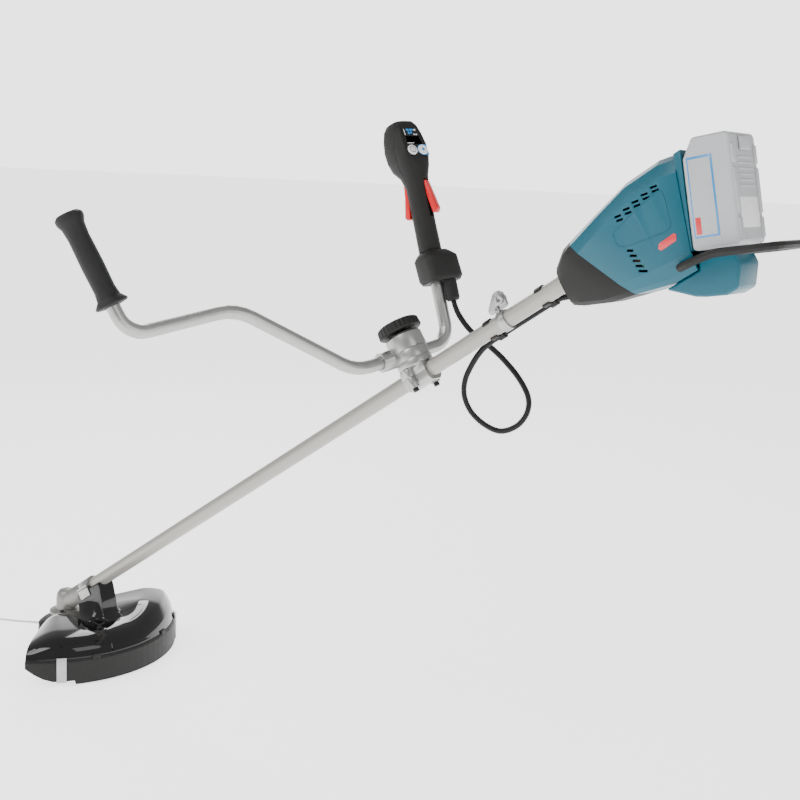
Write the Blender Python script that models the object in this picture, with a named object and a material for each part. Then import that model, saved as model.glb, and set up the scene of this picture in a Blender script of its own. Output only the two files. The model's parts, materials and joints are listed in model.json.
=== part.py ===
"""A battery brush cutter with bicycle handlebars, built as separate solids.

Metres, +Z up. The origin is on the main pipe's axis under the handle clamp's knob. The machine is laid
out in the pipe's own frame (X back along the pipe to the motor, Y to the operator's right, Z square to
the pipe) and pitched so that the trimmer head's spindle stands upright.
"""

from math import atan2, cos, pi, radians, sin

import bmesh
import bpy
from mathutils import Matrix, Vector

# Driving dimensions
PITCH = radians(34.5)          # the pipe's slope when the head lies flat
HEAD_S = -1.083                # the spindle's axis crosses the pipe's axis here
GAP = 0.0003                   # clearance between touching pieces
PIPE_R, PIPE_BORE = 0.0140, 0.0125
SHAFT_R = 0.0040
SPINDLE_R = 0.0060
BAR_R, BAR_BORE = 0.0111, 0.0096
BAR_HEIGHT, BAR_FORWARD = 0.0440, 0.0170
SWEEP, LEAN = radians(20), radians(12)
BAR_CORNERS = [(-0.4895, 0.3370), (-0.461, 0.149), (-0.277, 0.148), (-0.103, 0.0), (0.095, 0.0),
               (0.1394, 0.2870)]          # across and up, in the bar's own plane, left end first
BAR_BENDS = [0.038, 0.090, 0.075, 0.038]
BATTERY_TILT = radians(22)
GUARD_BACK = -0.035            # the guard's arc centre, behind the spindle's axis
CABLE_R = 0.0050
CLIPPED = (0.0215, -0.0115)    # the cable's place beside the pipe where it is clipped
PINION_TEETH, RING_TEETH = 13, 19
CONE = 0.0170                  # the bevel gears' outer cone distance
PINION_CONE = atan2(sin(pi / 2 + PITCH), RING_TEETH / PINION_TEETH + cos(pi / 2 + PITCH))
RING_CONE = pi / 2 + PITCH - PINION_CONE

PIPE_DIR = Vector((cos(PITCH), 0, sin(PITCH)))        # along the pipe, in the head's upright frame
PIPE_DOWN = Vector((sin(PITCH), 0, -cos(PITCH)))      # square to it, downwards

HARNESS_EYE = (0.1992, 0.0340)
LUG_FACE = Vector((0.1992, 0.0065, 0.0403))    # on the lug's boss, just above its eye: the origin

# The control cable's route through hand-picked points, in the pipe's frame
CABLE_ROUTE = [
    (0.0610, 0.1072, 0.1249), (0.0556, 0.1056, 0.1036), (0.0550, 0.1020, 0.0760), (0.0680, 0.0930, 0.0380),
    (0.0920, 0.0850, -0.0020), (0.1100, 0.0780, -0.0370), (0.1260, 0.0680, -0.0780),
    (0.1320, 0.0580, -0.1140), (0.1230, 0.0480, -0.1370), (0.0990, 0.0420, -0.1480),
    (0.0690, 0.0380, -0.1430), (0.0480, 0.0360, -0.1210), (0.0360, 0.0340, -0.0910),
    (0.0390, 0.0320, -0.0620), (0.0560, 0.0300, -0.0400), (0.0850, 0.0270, -0.0240),
    (0.1120, 0.0235, -0.0150), (0.1340, 0.0218, -0.0120), (0.1500, 0.0215, -0.0115),
    (0.1720, 0.0215, -0.0115), (0.2050, 0.0215, -0.0115), (0.2400, 0.0215, -0.0115),
    (0.2620, 0.0215, -0.0115), (0.2790, 0.0212, -0.0118), (0.2920, 0.0200, -0.0150),
    (0.3060, 0.0165, -0.0207), (0.3150, 0.01416, -0.0242), (0.3240, 0.01182, -0.0277),
    (0.3330, 0.0095, -0.0312),
]

FINISHES = {                   # colour, roughness, metallic
    "satin_pipe": ((0.58, 0.57, 0.55), 0.38, 0.55),
    "cast_alloy": ((0.42, 0.41, 0.39), 0.45, 0.70),
    "polished_alloy": ((0.72, 0.72, 0.71), 0.20, 1.0),
    "steel": ((0.55, 0.55, 0.56), 0.30, 1.0),
    "dark_steel": ((0.06, 0.06, 0.065), 0.40, 0.8),
    "gloss_black": ((0.008, 0.008, 0.009), 0.08, 0.0),
    "matte_black": ((0.035, 0.034, 0.033), 0.55, 0.0),
    "grip_rubber": ((0.030, 0.030, 0.031), 0.70, 0.0),
    "teal": ((0.016, 0.235, 0.310), 0.38, 0.0),
    "red": ((0.72, 0.02, 0.025), 0.35, 0.0),
    "white": ((0.80, 0.80, 0.82), 0.35, 0.0),
    "cyan": ((0.02, 0.42, 0.80), 0.25, 0.0),
    "pale_grey": ((0.52, 0.53, 0.54), 0.45, 0.0),
    "copper": ((0.72, 0.33, 0.16), 0.35, 0.9),
    "board_green": ((0.02, 0.16, 0.06), 0.50, 0.0),
    "nylon": ((0.82, 0.84, 0.80), 0.40, 0.0),
}


# ---------------------------------------------------------------- shape helpers

def skin(loops, ring=False):
    """Mesh a row of equal loops; ring joins the last loop to the first, otherwise both ends are capped."""
    bm = bmesh.new()
    rows = [[bm.verts.new(point) for point in loop] for loop in loops]
    pairs = list(zip(rows, rows[1:]))
    if ring:
        pairs.append((rows[-1], rows[0]))
    else:
        bm.faces.new(list(reversed(rows[0])))
        bm.faces.new(rows[-1])
    for low, high in pairs:
        for i, vert in enumerate(low):
            j = (i + 1) % len(low)
            bm.faces.new((vert, low[j], high[j], high[i]))
    bmesh.ops.recalc_face_normals(bm, faces=bm.faces)
    if bm.calc_volume(signed=True) < 0:
        bmesh.ops.reverse_faces(bm, faces=bm.faces)
    mesh = bpy.data.meshes.new("work")
    bm.to_mesh(mesh)
    bm.free()
    return mesh


def moved(mesh, matrix):
    mesh.transform(matrix)
    return mesh


def shifted(mesh, x=0.0, y=0.0, z=0.0):
    return moved(mesh, Matrix.Translation((x, y, z)))


def circle(radius, height, sides):
    return [(radius * cos(2 * pi * i / sides), radius * sin(2 * pi * i / sides), height) for i in range(sides)]


def lathe(profile, sides=32, ring=False):
    """Turn (radius, height) points about Z; ring closes the profile into a tube's wall."""
    return skin([circle(radius, height, sides) for radius, height in profile], ring)


def facing(direction, origin=(0, 0, 0), spin=0.0):
    """A frame whose Z points along a direction."""
    turn = Vector(direction).to_track_quat("Z", "Y").to_matrix().to_4x4()
    return Matrix.Translation(origin) @ turn @ Matrix.Rotation(spin, 4, "Z")


def rod(radius, start, end, sides=24):
    """A solid cylinder between two points."""
    start, end = Vector(start), Vector(end)
    return moved(lathe([(radius, 0), (radius, (end - start).length)], sides), facing(end - start, start))


def box(x, y, z):
    """A block between two values on each axis."""
    return skin([[(x[i], y[j], level) for i, j in ((0, 0), (1, 0), (1, 1), (0, 1))] for level in z])


def prism(outline, y):
    """An (x, z) outline extruded between two values of y."""
    return skin([[(px, side, pz) for px, pz in outline] for side in y])


def combined(mesh, others, operation, solver="EXACT"):
    """Join or cut meshes with a Boolean, and drop the vertices that it no longer needs."""
    base = bpy.data.objects.new("base", mesh)
    tools = [bpy.data.objects.new("tool", other) for other in others]
    for thing in [base, *tools]:
        bpy.context.scene.collection.objects.link(thing)
    for tool in tools:
        boolean = base.modifiers.new("boolean", "BOOLEAN")
        boolean.operation = operation
        boolean.solver = solver
        boolean.object = tool
    graph = bpy.context.evaluated_depsgraph_get()
    result = bpy.data.meshes.new_from_object(base.evaluated_get(graph))
    for thing in [base, *tools]:
        bpy.data.objects.remove(thing, do_unlink=True)
    bm = bmesh.new()
    bm.from_mesh(result)
    bmesh.ops.remove_doubles(bm, verts=bm.verts, dist=0.00001)
    bmesh.ops.dissolve_limit(bm, angle_limit=radians(0.5), verts=bm.verts, edges=bm.edges)
    bm.to_mesh(result)
    bm.free()
    return result


def joined(mesh, *others):
    return combined(mesh, others, "UNION")


def cut(mesh, *others):
    return combined(mesh, others, "DIFFERENCE")


def triangulated(mesh):
    bm = bmesh.new()
    bm.from_mesh(mesh)
    bmesh.ops.triangulate(bm, faces=bm.faces)
    bm.to_mesh(mesh)
    bm.free()
    return mesh


def softened(mesh, width, angle=30):
    """Bevel the outer edges that are sharper than an angle."""
    bm = bmesh.new()
    bm.from_mesh(mesh)
    sharp = [edge for edge in bm.edges if edge.is_convex and edge.calc_face_angle(0) > radians(angle)]
    bmesh.ops.bevel(bm, geom=sharp, offset=width, segments=1, affect="EDGES", clamp_overlap=True)
    bm.to_mesh(mesh)
    bm.free()
    return mesh


def rounded_path(corners, radii, step=radians(11)):
    """A flat (x, z) path through corners, each rounded to its radius."""
    points = [Vector(corners[0])]
    for i, radius in enumerate(radii, start=1):
        here = Vector(corners[i])
        before = (Vector(corners[i - 1]) - here).normalized()
        after = (Vector(corners[i + 1]) - here).normalized()
        half = before.angle(after) / 2
        centre = here + (before + after).normalized() * radius / sin(half)
        first = here + before * radius * cos(half) / sin(half)
        last = here + after * (first - here).length
        a, b = first - centre, last - centre
        turn = a.angle_signed(b)
        count = max(2, round(abs(turn) / step))
        for k in range(count + 1):
            t = -turn * k / count
            points.append(centre + Vector((a.x * cos(t) - a.y * sin(t), a.x * sin(t) + a.y * cos(t))))
    points.append(Vector(corners[-1]))
    return [(p.x, 0.0, p.y) for p in points]


def smooth_path(route, spacing):
    """Points at an even spacing along a smooth curve through a route."""
    route = [Vector(p) for p in route]
    padded = [2 * route[0] - route[1], *route, 2 * route[-1] - route[-2]]
    fine = []
    for a, b, c, d in zip(padded, padded[1:], padded[2:], padded[3:]):
        for k in range(20):
            t = k / 20
            fine.append(0.5 * (2 * b + (c - a) * t + (2 * a - 5 * b + 4 * c - d) * t ** 2
                               + (3 * b - a - 3 * c + d) * t ** 3))
    fine.append(route[-1])
    length = sum((q - p).length for p, q in zip(fine, fine[1:]))
    count = round(length / spacing)
    points, walked, target = [fine[0]], 0.0, length / count
    for p, q in zip(fine, fine[1:]):
        piece = (q - p).length
        while walked + piece >= target and len(points) < count:
            points.append(p.lerp(q, (target - walked) / piece))
            target += length / count
        walked += piece
    return [*points, fine[-1]]


def swept(path, radii, sides, ring=False):
    """Sweep circles along a path that stays in one plane square to Y; two radii give a tube's wall."""
    path = [Vector(p) for p in path]
    rows = []
    for radius in radii:
        row = []
        for i, point in enumerate(path):
            along = (path[min(i + 1, len(path) - 1)] - path[max(i - 1, 0)]).normalized()
            across = Vector((0, 1, 0)).cross(along)
            row.append([point + radius * (cos(2 * pi * k / sides) * across
                                          + sin(2 * pi * k / sides) * Vector((0, 1, 0)))
                        for k in range(sides)])
        rows.append(row)
    loops = rows[0] if len(rows) == 1 else rows[0] + list(reversed(rows[1]))
    return skin(loops, ring)


def oval(half_x, front, back, height, power, sides=32):
    """A superellipse about the Z axis, from back to front along Y."""
    middle, half_y = (front + back) / 2, (front - back) / 2
    loop = []
    for i in range(sides):
        angle = 2 * pi * i / sides
        c, s = cos(angle), sin(angle)
        x = half_x * abs(c) ** (2 / power) * (1 if c > 0 else -1)
        y = middle + half_y * abs(s) ** (2 / power) * (1 if s > 0 else -1)
        loop.append((x, y, height))
    return loop


# ---------------------------------------------------------------- scene helpers

def empty(name, parent=None, location=(0, 0, 0), rotation=(0, 0, 0)):
    item = bpy.data.objects.new(name, None)
    bpy.context.scene.collection.objects.link(item)
    item.parent = parent
    item.location = location
    item.rotation_euler = rotation
    return item


def finish_material(name, finish):
    colour, roughness, metallic = FINISHES[finish]
    material = bpy.data.materials.new(name)
    material.use_nodes = True
    shader = material.node_tree.nodes["Principled BSDF"]
    shader.inputs["Base Color"].default_value = (*colour, 1)
    shader.inputs["Roughness"].default_value = roughness
    shader.inputs["Metallic"].default_value = metallic
    material.diffuse_color = (*colour, 1)
    return material


def piece(name, mesh, parent, finish, origin=(0, 0, 0), sharp=35):
    """Name a finished mesh, put its origin where it turns or slides, and give it its own material."""
    mesh.transform(Matrix.Translation(-Vector(origin)))
    mesh.name = name
    item = bpy.data.objects.new(name, mesh)
    bpy.context.scene.collection.objects.link(item)
    item.parent = parent
    item.location = origin
    mesh.materials.clear()
    mesh.materials.append(finish_material(name, finish))
    mesh.polygons.foreach_set("use_smooth", [True] * len(mesh.polygons))
    mesh.set_sharp_from_angle(angle=radians(sharp))
    return item


# ---------------------------------------------------------------- pipe and drive

ALONG_PIPE = Matrix.Rotation(pi / 2, 4, "Y")          # turns Z onto the pipe frame's X


def make_pipe_and_shaft(stance):
    front, back = -1.030, 0.352
    wall = [(PIPE_R, front), (PIPE_R, back), (PIPE_BORE, back), (PIPE_BORE, front)]
    piece("outer_pipe", moved(lathe(wall, 32, ring=True), ALONG_PIPE), stance, "satin_pipe")
    for name, start in (("shaft_bush_front", -1.018), ("shaft_bush_rear", 0.325)):
        outer, bore, end = PIPE_BORE - GAP, SHAFT_R + GAP, start + 0.016
        ring = [(outer, start), (outer, end), (bore, end), (bore, start)]
        piece(name, moved(lathe(ring, 24, ring=True), ALONG_PIPE), stance, "dark_steel")
    shaft = lathe([(SHAFT_R, HEAD_S + 0.0227), (SHAFT_R, 0.3752)], 16)
    piece("drive_shaft", moved(shaft, ALONG_PIPE), stance, "steel")


def toothed_loop(teeth, cone_angle, distance, phase, upward):
    """One end of a bevel gear's teeth, on a sphere about the cones' tip."""
    tip, root = cone_angle + radians(4.2), cone_angle - radians(5.6)
    loop = []
    for i in range(teeth):
        for width, angle in ((-0.30, root), (-0.10, tip), (0.10, tip), (0.30, root)):
            around = phase + 2 * pi * (i + width) / teeth
            radius, height = distance * sin(angle), upward * distance * cos(angle)
            loop.append((radius * cos(around), radius * sin(around), height))
    return loop


def make_gears(head):
    sides = 4 * RING_TEETH
    bore = SPINDLE_R + GAP
    ring = [toothed_loop(RING_TEETH, RING_CONE, CONE, 0, -1), circle(0.0164, -0.0090, sides),
            circle(bore, -0.0090, sides), circle(bore, -0.0032, sides), circle(0.0085, -0.0032, sides),
            toothed_loop(RING_TEETH, RING_CONE, 0.0110, 0, -1)]
    piece("bevel_gear", skin(ring, ring=True), head, "steel")
    sides = 4 * PINION_TEETH
    phase = pi / PINION_TEETH
    pinion = [circle(0.0050, 0.0082, sides), toothed_loop(PINION_TEETH, PINION_CONE, 0.0110, phase, 1),
              toothed_loop(PINION_TEETH, PINION_CONE, CONE, phase, 1), circle(0.0095, 0.0152, sides),
              circle(0.0062, 0.0160, sides), circle(0.0062, 0.0224, sides)]
    frame = Matrix((PIPE_DOWN, PIPE_DIR.cross(PIPE_DOWN), PIPE_DIR)).transposed().to_4x4()
    piece("bevel_pinion", moved(skin(pinion), frame), head, "steel")
    spindle = [(SPINDLE_R - 0.001, -0.0036), (SPINDLE_R, -0.0046), (SPINDLE_R, -0.0680)]
    piece("output_spindle", lathe(spindle, 24), head, "steel")


def make_gear_case(head):
    along = facing(PIPE_DIR)
    dome = lathe([(0.0360, -0.0220), (0.0360, -0.0170), (0.0330, -0.0155), (0.0228, -0.0125),
                  (0.0222, 0.0100), (0.0205, 0.0200), (0.0160, 0.0265), (0.0080, 0.0298)], 32)
    neck = moved(lathe([(0.0165, 0.0060), (0.0188, 0.0100), (0.0188, 0.0660), (0.0178, 0.0685)], 32), along)
    lug_turn = Matrix.Rotation(radians(-58), 4, "Z")
    lug = moved(box((0.0240, 0.0400), (-0.0065, 0.0065), (-0.0218, -0.0120)), lug_turn)
    cavity = lathe([(0.0185, -0.0240), (0.0185, 0.0095), (0.0165, 0.0150), (0.0080, 0.0180)], 32)
    bore = moved(lathe([(0.0138, 0.0070), (0.0138, 0.0465), (0.0143, 0.0466), (0.0143, 0.0720)], 32), along)
    screw_hole = moved(rod(0.0024, (0.0335, 0, -0.0230), (0.0335, 0, -0.0100), 16), lug_turn)
    case = cut(joined(dome, neck, lug), cavity, bore, screw_hole)
    piece("gear_case", case, head, "cast_alloy")
    screw = lathe([(0.0021, -0.0215), (0.0021, -0.0117), (0.0042, -0.0117), (0.0042, -0.0080)], 16)
    piece("gear_case_screw", moved(shifted(screw, x=0.0335), lug_turn), head, "dark_steel")
    bore = SPINDLE_R + GAP
    cover = [(bore, -0.0197), (0.0120, -0.0197), (0.0120, -0.0223), (0.0300, -0.0223), (0.0300, -0.0275),
             (bore, -0.0275)]
    piece("gear_case_cover", lathe(cover, 32, ring=True), head, "cast_alloy")
    bearing = [(bore, -0.0113), (0.0182, -0.0113), (0.0182, -0.0193), (bore, -0.0193)]
    piece("spindle_bearing", lathe(bearing, 32, ring=True), head, "steel")
    front, back, bore = 0.0235, 0.0315, SHAFT_R + GAP
    bearing = [(bore, front), (0.0135, front), (0.0135, back), (bore, back)]
    piece("pinion_bearing", moved(lathe(bearing, 32, ring=True), along), head, "steel")


# ---------------------------------------------------------------- trimmer head

def make_trimmer_head(head):
    bore = SPINDLE_R + GAP
    washer = [(bore, -0.0290), (0.0280, -0.0290), (0.0280, -0.0335), (bore, -0.0335)]
    piece("receiver_washer", lathe(washer, 32, ring=True), head, "steel")
    shell = [(bore, -0.0338), (0.0340, -0.0338), (0.0510, -0.0370), (0.0590, -0.0440), (0.0600, -0.0600),
             (0.0560, -0.0600), (0.0560, -0.0470), (0.0480, -0.0405), (bore, -0.0385)]
    line_z, line_turn = -0.0505, radians(36)
    across = Vector((cos(line_turn), sin(line_turn), 0))
    up = Vector((0, 0, line_z))
    exits = [rod(0.0034, up + side * 0.050 * across, up + side * 0.065 * across, 12) for side in (1, -1)]
    piece("head_housing", cut(lathe(shell, 40, ring=True), *exits), head, "matte_black")
    cover = [(0.0315, -0.0745), (0.0475, -0.0745), (0.0560, -0.0665), (0.0560, -0.0603), (0.0600, -0.0603),
             (0.0600, -0.0675), (0.0500, -0.0780), (0.0315, -0.0780)]
    piece("head_cover", lathe(cover, 40, ring=True), head, "matte_black")
    spool = [(0.0068, -0.0480), (0.0440, -0.0480), (0.0440, -0.0500), (0.0390, -0.0500), (0.0390, -0.0715),
             (0.0460, -0.0715), (0.0460, -0.0740), (0.0068, -0.0740)]
    piece("line_spool", lathe(spool, 32, ring=True), head, "matte_black")
    knob = [(0.0300, -0.0743), (0.0300, -0.0900), (0.0270, -0.0955), (0.0150, -0.0980)]
    piece("bump_knob", lathe(knob, 32), head, "matte_black")
    for name, side in (("cutting_line_right", 1), ("cutting_line_left", -1)):
        path = []
        for i in range(9):
            t = i / 8
            bow = 0.010 * t * t
            path.append(up + side * (0.0575 + 0.1425 * t) * across + Vector((0, 0, bow)))
        loops = []
        frame = facing(side * across)
        for point in path:
            loops.append([Matrix.Translation(point) @ frame @ Vector(p) for p in circle(0.0024, 0, 10)])
        piece(name, skin(loops), head, "nylon")


# ---------------------------------------------------------------- guard

GUARD_FROM, GUARD_TO = radians(-53), radians(53)
GUARD_TOP = [(0.100, -0.0005), (0.170, -0.0005), (0.205, -0.0020), (0.228, -0.0085), (0.243, -0.0225),
             (0.2500, -0.0420)]
GUARD_UNDER = [(0.2468, -0.0420), (0.2400, -0.0250), (0.2260, -0.0117), (0.204, -0.0050), (0.170, -0.0035),
               (0.100, -0.0035)]
RIM_Z = -0.0420
SKIRT_STEP = radians(-31)      # the skirt is deeper to the right of this angle


def guard_droop(angle):
    """How far the guard's top falls to its rim towards its left end, from 0 to 1."""
    return 0.42 * max(0.0, (radians(-36) - angle) / radians(17)) ** 2


def guard_shoulder(angle, radius):
    """How far the guard's top swells up towards its right end."""
    around = min(1.0, max(0.0, angle / radians(32)))
    outwards = min(1.0, max(0.0, (radius - 0.115) / 0.070)) * min(1.0, max(0.0, (0.250 - radius) / 0.022))
    return 0.0130 * around * around * (3 - 2 * around) * outwards


def guard_sector(profile, steps):
    """Sweep a (radius, z) profile about the guard's centre, lower at its left end and swollen at its right."""
    loops = []
    for i in range(steps + 1):
        angle = GUARD_FROM + (GUARD_TO - GUARD_FROM) * i / steps
        ease = guard_droop(angle)
        loops.append([(GUARD_BACK + r * cos(angle), r * sin(angle),
                       z + (RIM_Z - z) * ease + guard_shoulder(angle, r)) for r, z in profile])
    return triangulated(skin(loops))


def in_pipe_plane(along, down):
    """A point in the pipe's upright plane, by its distance along the pipe and below its axis."""
    point = along * PIPE_DIR + down * PIPE_DOWN
    return point.x, point.z


def make_guard(head):
    shield = guard_sector(GUARD_TOP + GUARD_UNDER, 26)
    side = [in_pipe_plane(0.071, 0.0003), in_pipe_plane(0.108, 0.0003), in_pipe_plane(0.109, 0.0060),
            in_pipe_plane(0.140, 0.0060), in_pipe_plane(0.140, 0.0200), (0.1340, 0.0250),
            (0.1560, -0.0020), (0.0660, -0.0020), in_pipe_plane(0.071, 0.0240)]
    flare = [(0.0480, 0.02), (0.0400, 0.06), (0.0320, 0.15), (0.0260, 0.30), (0.0192, 0.50), (0.0190, 1.0)]
    spans = [(-y, share) for y, share in flare] + [(y, share) for y, share in reversed(flare)]
    neck = triangulated(skin([[(0.118 + (x - 0.118) * (0.55 + 0.45 * min(1.0, 2 * share)), y,
                                -0.0020 + (z + 0.0020) * share) for x, z in side] for y, share in spans]))
    rib = [(0.1300, -0.0020), (0.1300, 0.0060), (0.1700, 0.0035), (0.1960, -0.0060), (0.2090, -0.0230),
           (0.2060, -0.0240), (0.1900, -0.0110), (0.1700, -0.0025)]
    rib = moved(triangulated(prism(rib, (-0.0030, 0.0030))), Matrix.Rotation(radians(-13), 4, "Z"))
    channel = rod(PIPE_R + GAP, 0.060 * PIPE_DIR, 0.170 * PIPE_DIR, 32)
    shield = triangulated(combined(shield, [neck, rib], "UNION", "MANIFOLD"))  # exact drops the thin shell
    piece("guard_shield", combined(shield, [channel], "DIFFERENCE", "MANIFOLD"), head, "gloss_black")

    skirt_profile = [(0.2472, -0.0423), (0.2512, -0.0423), (0.2536, -0.0480), (0.2540, -0.0900),
                     (0.2512, -0.0900), (0.2508, -0.0495), (0.2472, -0.0450)]

    angles = [GUARD_FROM + (GUARD_TO - GUARD_FROM) * i / 26 for i in range(27)]
    loops = []
    for angle in sorted(angles + [SKIRT_STEP - 0.004, SKIRT_STEP + 0.004]):
        lift = 0.75 * min(1.0, max(0.0, (radians(-40) - angle) / radians(13)) ** 1.6)
        bottom = -0.0950 if angle > SKIRT_STEP else -0.0870 + 0.037 * lift
        loops.append([(GUARD_BACK + r * cos(angle), r * sin(angle), bottom if z < -0.06 else z)
                      for r, z in skirt_profile])
    piece("guard_skirt", skin(loops), head, "matte_black")

    for name, angle, foot in (("line_cutter_left", -37, -0.0876), ("line_cutter_right", 47, -0.0956)):
        blade = [(0.2544, -0.0370), (0.2559, -0.0370), (0.2559, foot - 0.0015), (0.2400, foot - 0.0015),
                 (0.2400, foot), (0.2544, foot)]
        place = Matrix.Translation((GUARD_BACK, 0, 0)) @ Matrix.Rotation(radians(angle), 4, "Z")
        piece(name, moved(prism(blade, (-0.0095, 0.0095)), place), head, "steel")

    along = facing(PIPE_DIR)
    inner, outer = PIPE_R + GAP, 0.0190
    half = [(inner, 0.072), (outer, 0.072), (outer, 0.107), (inner, 0.107)]
    cap = moved(lathe(half, 32, ring=True), along)
    below = prism([in_pipe_plane(h, d) for h, d in ((0.06, 0), (0.12, 0), (0.12, 0.03), (0.06, 0.03))],
                  (-0.03, 0.03))
    ears = [prism([in_pipe_plane(h, d) for h, d in ((0.072, 0), (0.107, 0), (0.107, -0.004), (0.072, -0.004))],
                  span) for span in ((-0.0225, -0.0160), (0.0160, 0.0225))]
    piece("guard_clamp_cap", cut(joined(cap, *ears), below), head, "polished_alloy")
    plate = prism([in_pipe_plane(h, d) for h, d in ((0.073, 0.001), (0.106, 0.001), (0.106, 0.020), (0.073, 0.020))],
                  (-0.0218, -0.0193))
    piece("guard_clamp_plate", plate, head, "polished_alloy")


# ---------------------------------------------------------------- handle clamp

BOLT_SPOTS = {"left": (-0.0050, -0.0235), "right": (0.0050, 0.0235)}


def make_pipe_clamp(stance):
    bore = rod(PIPE_R + GAP, (-0.05, 0, 0), (0.05, 0, 0), 32)
    bosses = {side: lambda z0, z1, p=spot: rod(0.0085, (*p, z0), (*p, z1), 20) for side, spot in BOLT_SPOTS.items()}
    under = [(-0.0195, -0.0120), (-0.0120, -0.0190), (0.0120, -0.0190), (0.0195, -0.0120),
             (0.0195, -0.0002), (-0.0195, -0.0002)]
    lower = moved(prism(under, (-0.0260, 0.0260)), Matrix.Rotation(pi / 2, 4, "Z"))
    lower = joined(lower, *[make(-0.0192, -0.0002) for make in bosses.values()])
    holes = [rod(0.0034, (*spot, -0.030), (*spot, 0.0090), 16) for spot in BOLT_SPOTS.values()]
    piece("pipe_clamp_lower", cut(lower, bore, *holes), stance, "polished_alloy")

    saddle = box((-0.0260, 0.0260), (-0.0195, 0.0195), (0.0002, 0.0150))
    turret = lathe([(0.0240, 0.0120), (0.0310, 0.0160), (0.0310, 0.0270)], 40)
    upper = joined(saddle, turret, *[make(0.0002, 0.0140) for make in bosses.values()])
    bore = rod(PIPE_R + GAP, (-0.05, 0, 0), (0.05, 0, 0), 32)
    stud_hole = rod(0.0044, (0, 0, 0.0160), (0, 0, 0.0400), 16)
    holes = [rod(0.0034, (*spot, -0.030), (*spot, 0.0090), 16) for spot in BOLT_SPOTS.values()]
    piece("pipe_clamp_upper", cut(upper, bore, stud_hole, *holes), stance, "polished_alloy")
    for side, spot in BOLT_SPOTS.items():
        bolt = [(0.0050, -0.0255), (0.0050, -0.0196), (0.0030, -0.0196), (0.0030, 0.0085)]
        piece("pipe_clamp_bolt_" + side, shifted(lathe(bolt, 16), spot[0], spot[1]), stance, "dark_steel")
    piece("handle_stud", lathe([(0.0040, 0.0163), (0.0040, 0.0885)], 16), stance, "steel")


def make_handle_clamp(swing):
    lug = rod(0.0165, (-0.0520, BAR_FORWARD, BAR_HEIGHT), (0.0360, BAR_FORWARD, BAR_HEIGHT), 24)
    bar = rod(BAR_R + GAP, (-0.08, BAR_FORWARD, BAR_HEIGHT), (0.08, BAR_FORWARD, BAR_HEIGHT), 24)
    stud_hole = rod(0.0044, (0, 0, 0.0200), (0, 0, 0.0900), 16)
    split = 0.0002
    drum = {"holder": [(0.0310, 0.0273), (0.0310, BAR_HEIGHT)],
            "cap": [(0.0320, BAR_HEIGHT), (0.0320, 0.0700), (0.0285, 0.0745)]}
    waste = {"holder": (BAR_HEIGHT - split, 0.1), "cap": (0.0, BAR_HEIGHT + split)}
    for part in ("holder", "cap"):
        whole = joined(lathe(drum[part], 40), lug.copy())
        away = box((-0.1, 0.1), (-0.1, 0.1), waste[part])
        piece("handle_" + part, cut(whole, away, bar.copy(), stud_hole.copy()), swing, "polished_alloy")


def star(outer, inner, height, points=30):
    loop = []
    for i in range(points):
        for offset, radius in ((0.0, outer), (0.5, inner)):
            angle = 2 * pi * (i + offset) / points
            loop.append((radius * cos(angle), radius * sin(angle), height))
    return loop


def make_clamp_knob(swing):
    loops = [circle(0.0044, 0.0900, 60), circle(0.0044, 0.0749, 60), circle(0.0125, 0.0749, 60),
             circle(0.0125, 0.0785, 60), circle(0.0355, 0.0785, 60), star(0.0380, 0.0366, 0.0805),
             star(0.0368, 0.0354, 0.0935), circle(0.0330, 0.0960, 60)]
    piece("clamp_knob", skin(loops), swing, "matte_black")


# ---------------------------------------------------------------- handlebar and grips

def make_handlebar(lean):
    path = rounded_path(BAR_CORNERS, BAR_BENDS)
    piece("handlebar", swept(path, (BAR_R, BAR_BORE), 20, ring=True), lean, "polished_alloy")


def make_left_grip(grip):
    inner = BAR_R + GAP
    profile = [(inner, 0.1930), (inner, 0.0485), (0.0150, 0.0485), (0.0245, 0.0500), (0.0260, 0.0530),
               (0.0185, 0.0620), (0.0165, 0.0760), (0.0172, 0.1150), (0.0163, 0.1600), (0.0180, 0.1780),
               (0.0218, 0.1870), (0.0222, 0.1935), (0.0175, 0.1985)]
    piece("left_grip", lathe(profile, 28), grip, "grip_rubber")


GRIP_SECTIONS = [               # height, half width, front, back, squareness
    (0.1600, 0.0200, 0.0200, -0.0200, 2.0), (0.2150, 0.0192, 0.0200, -0.0192, 2.0),
    (0.2750, 0.0197, 0.0206, -0.0197, 2.0), (0.2960, 0.0235, 0.0265, -0.0208, 2.4),
    (0.3120, 0.0285, 0.0390, -0.0225, 3.0), (0.3300, 0.0305, 0.0450, -0.0235, 3.6),
    (0.3500, 0.0300, 0.0480, -0.0215, 4.0), (0.3700, 0.0272, 0.0475, -0.0160, 4.0),
    (0.3860, 0.0240, 0.0440, -0.0100, 4.0), (0.3950, 0.0200, 0.0380, -0.0040, 3.5),
]
FACE_ORIGIN = Vector((0, -0.0235, 0.330))
FACE_LEAN = atan2(0.0135, 0.055)
TRIGGER_TURN = radians(30)
TRIGGER_PIVOT = (0.0175, 0.2820)
LEVER_PIVOT = (-0.0180, 0.2780)


def across_grip(outline, half):
    """A (y, z) outline with a width along X."""
    return skin([[(side, y, z) for y, z in outline] for side in (-half, half)])


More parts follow.
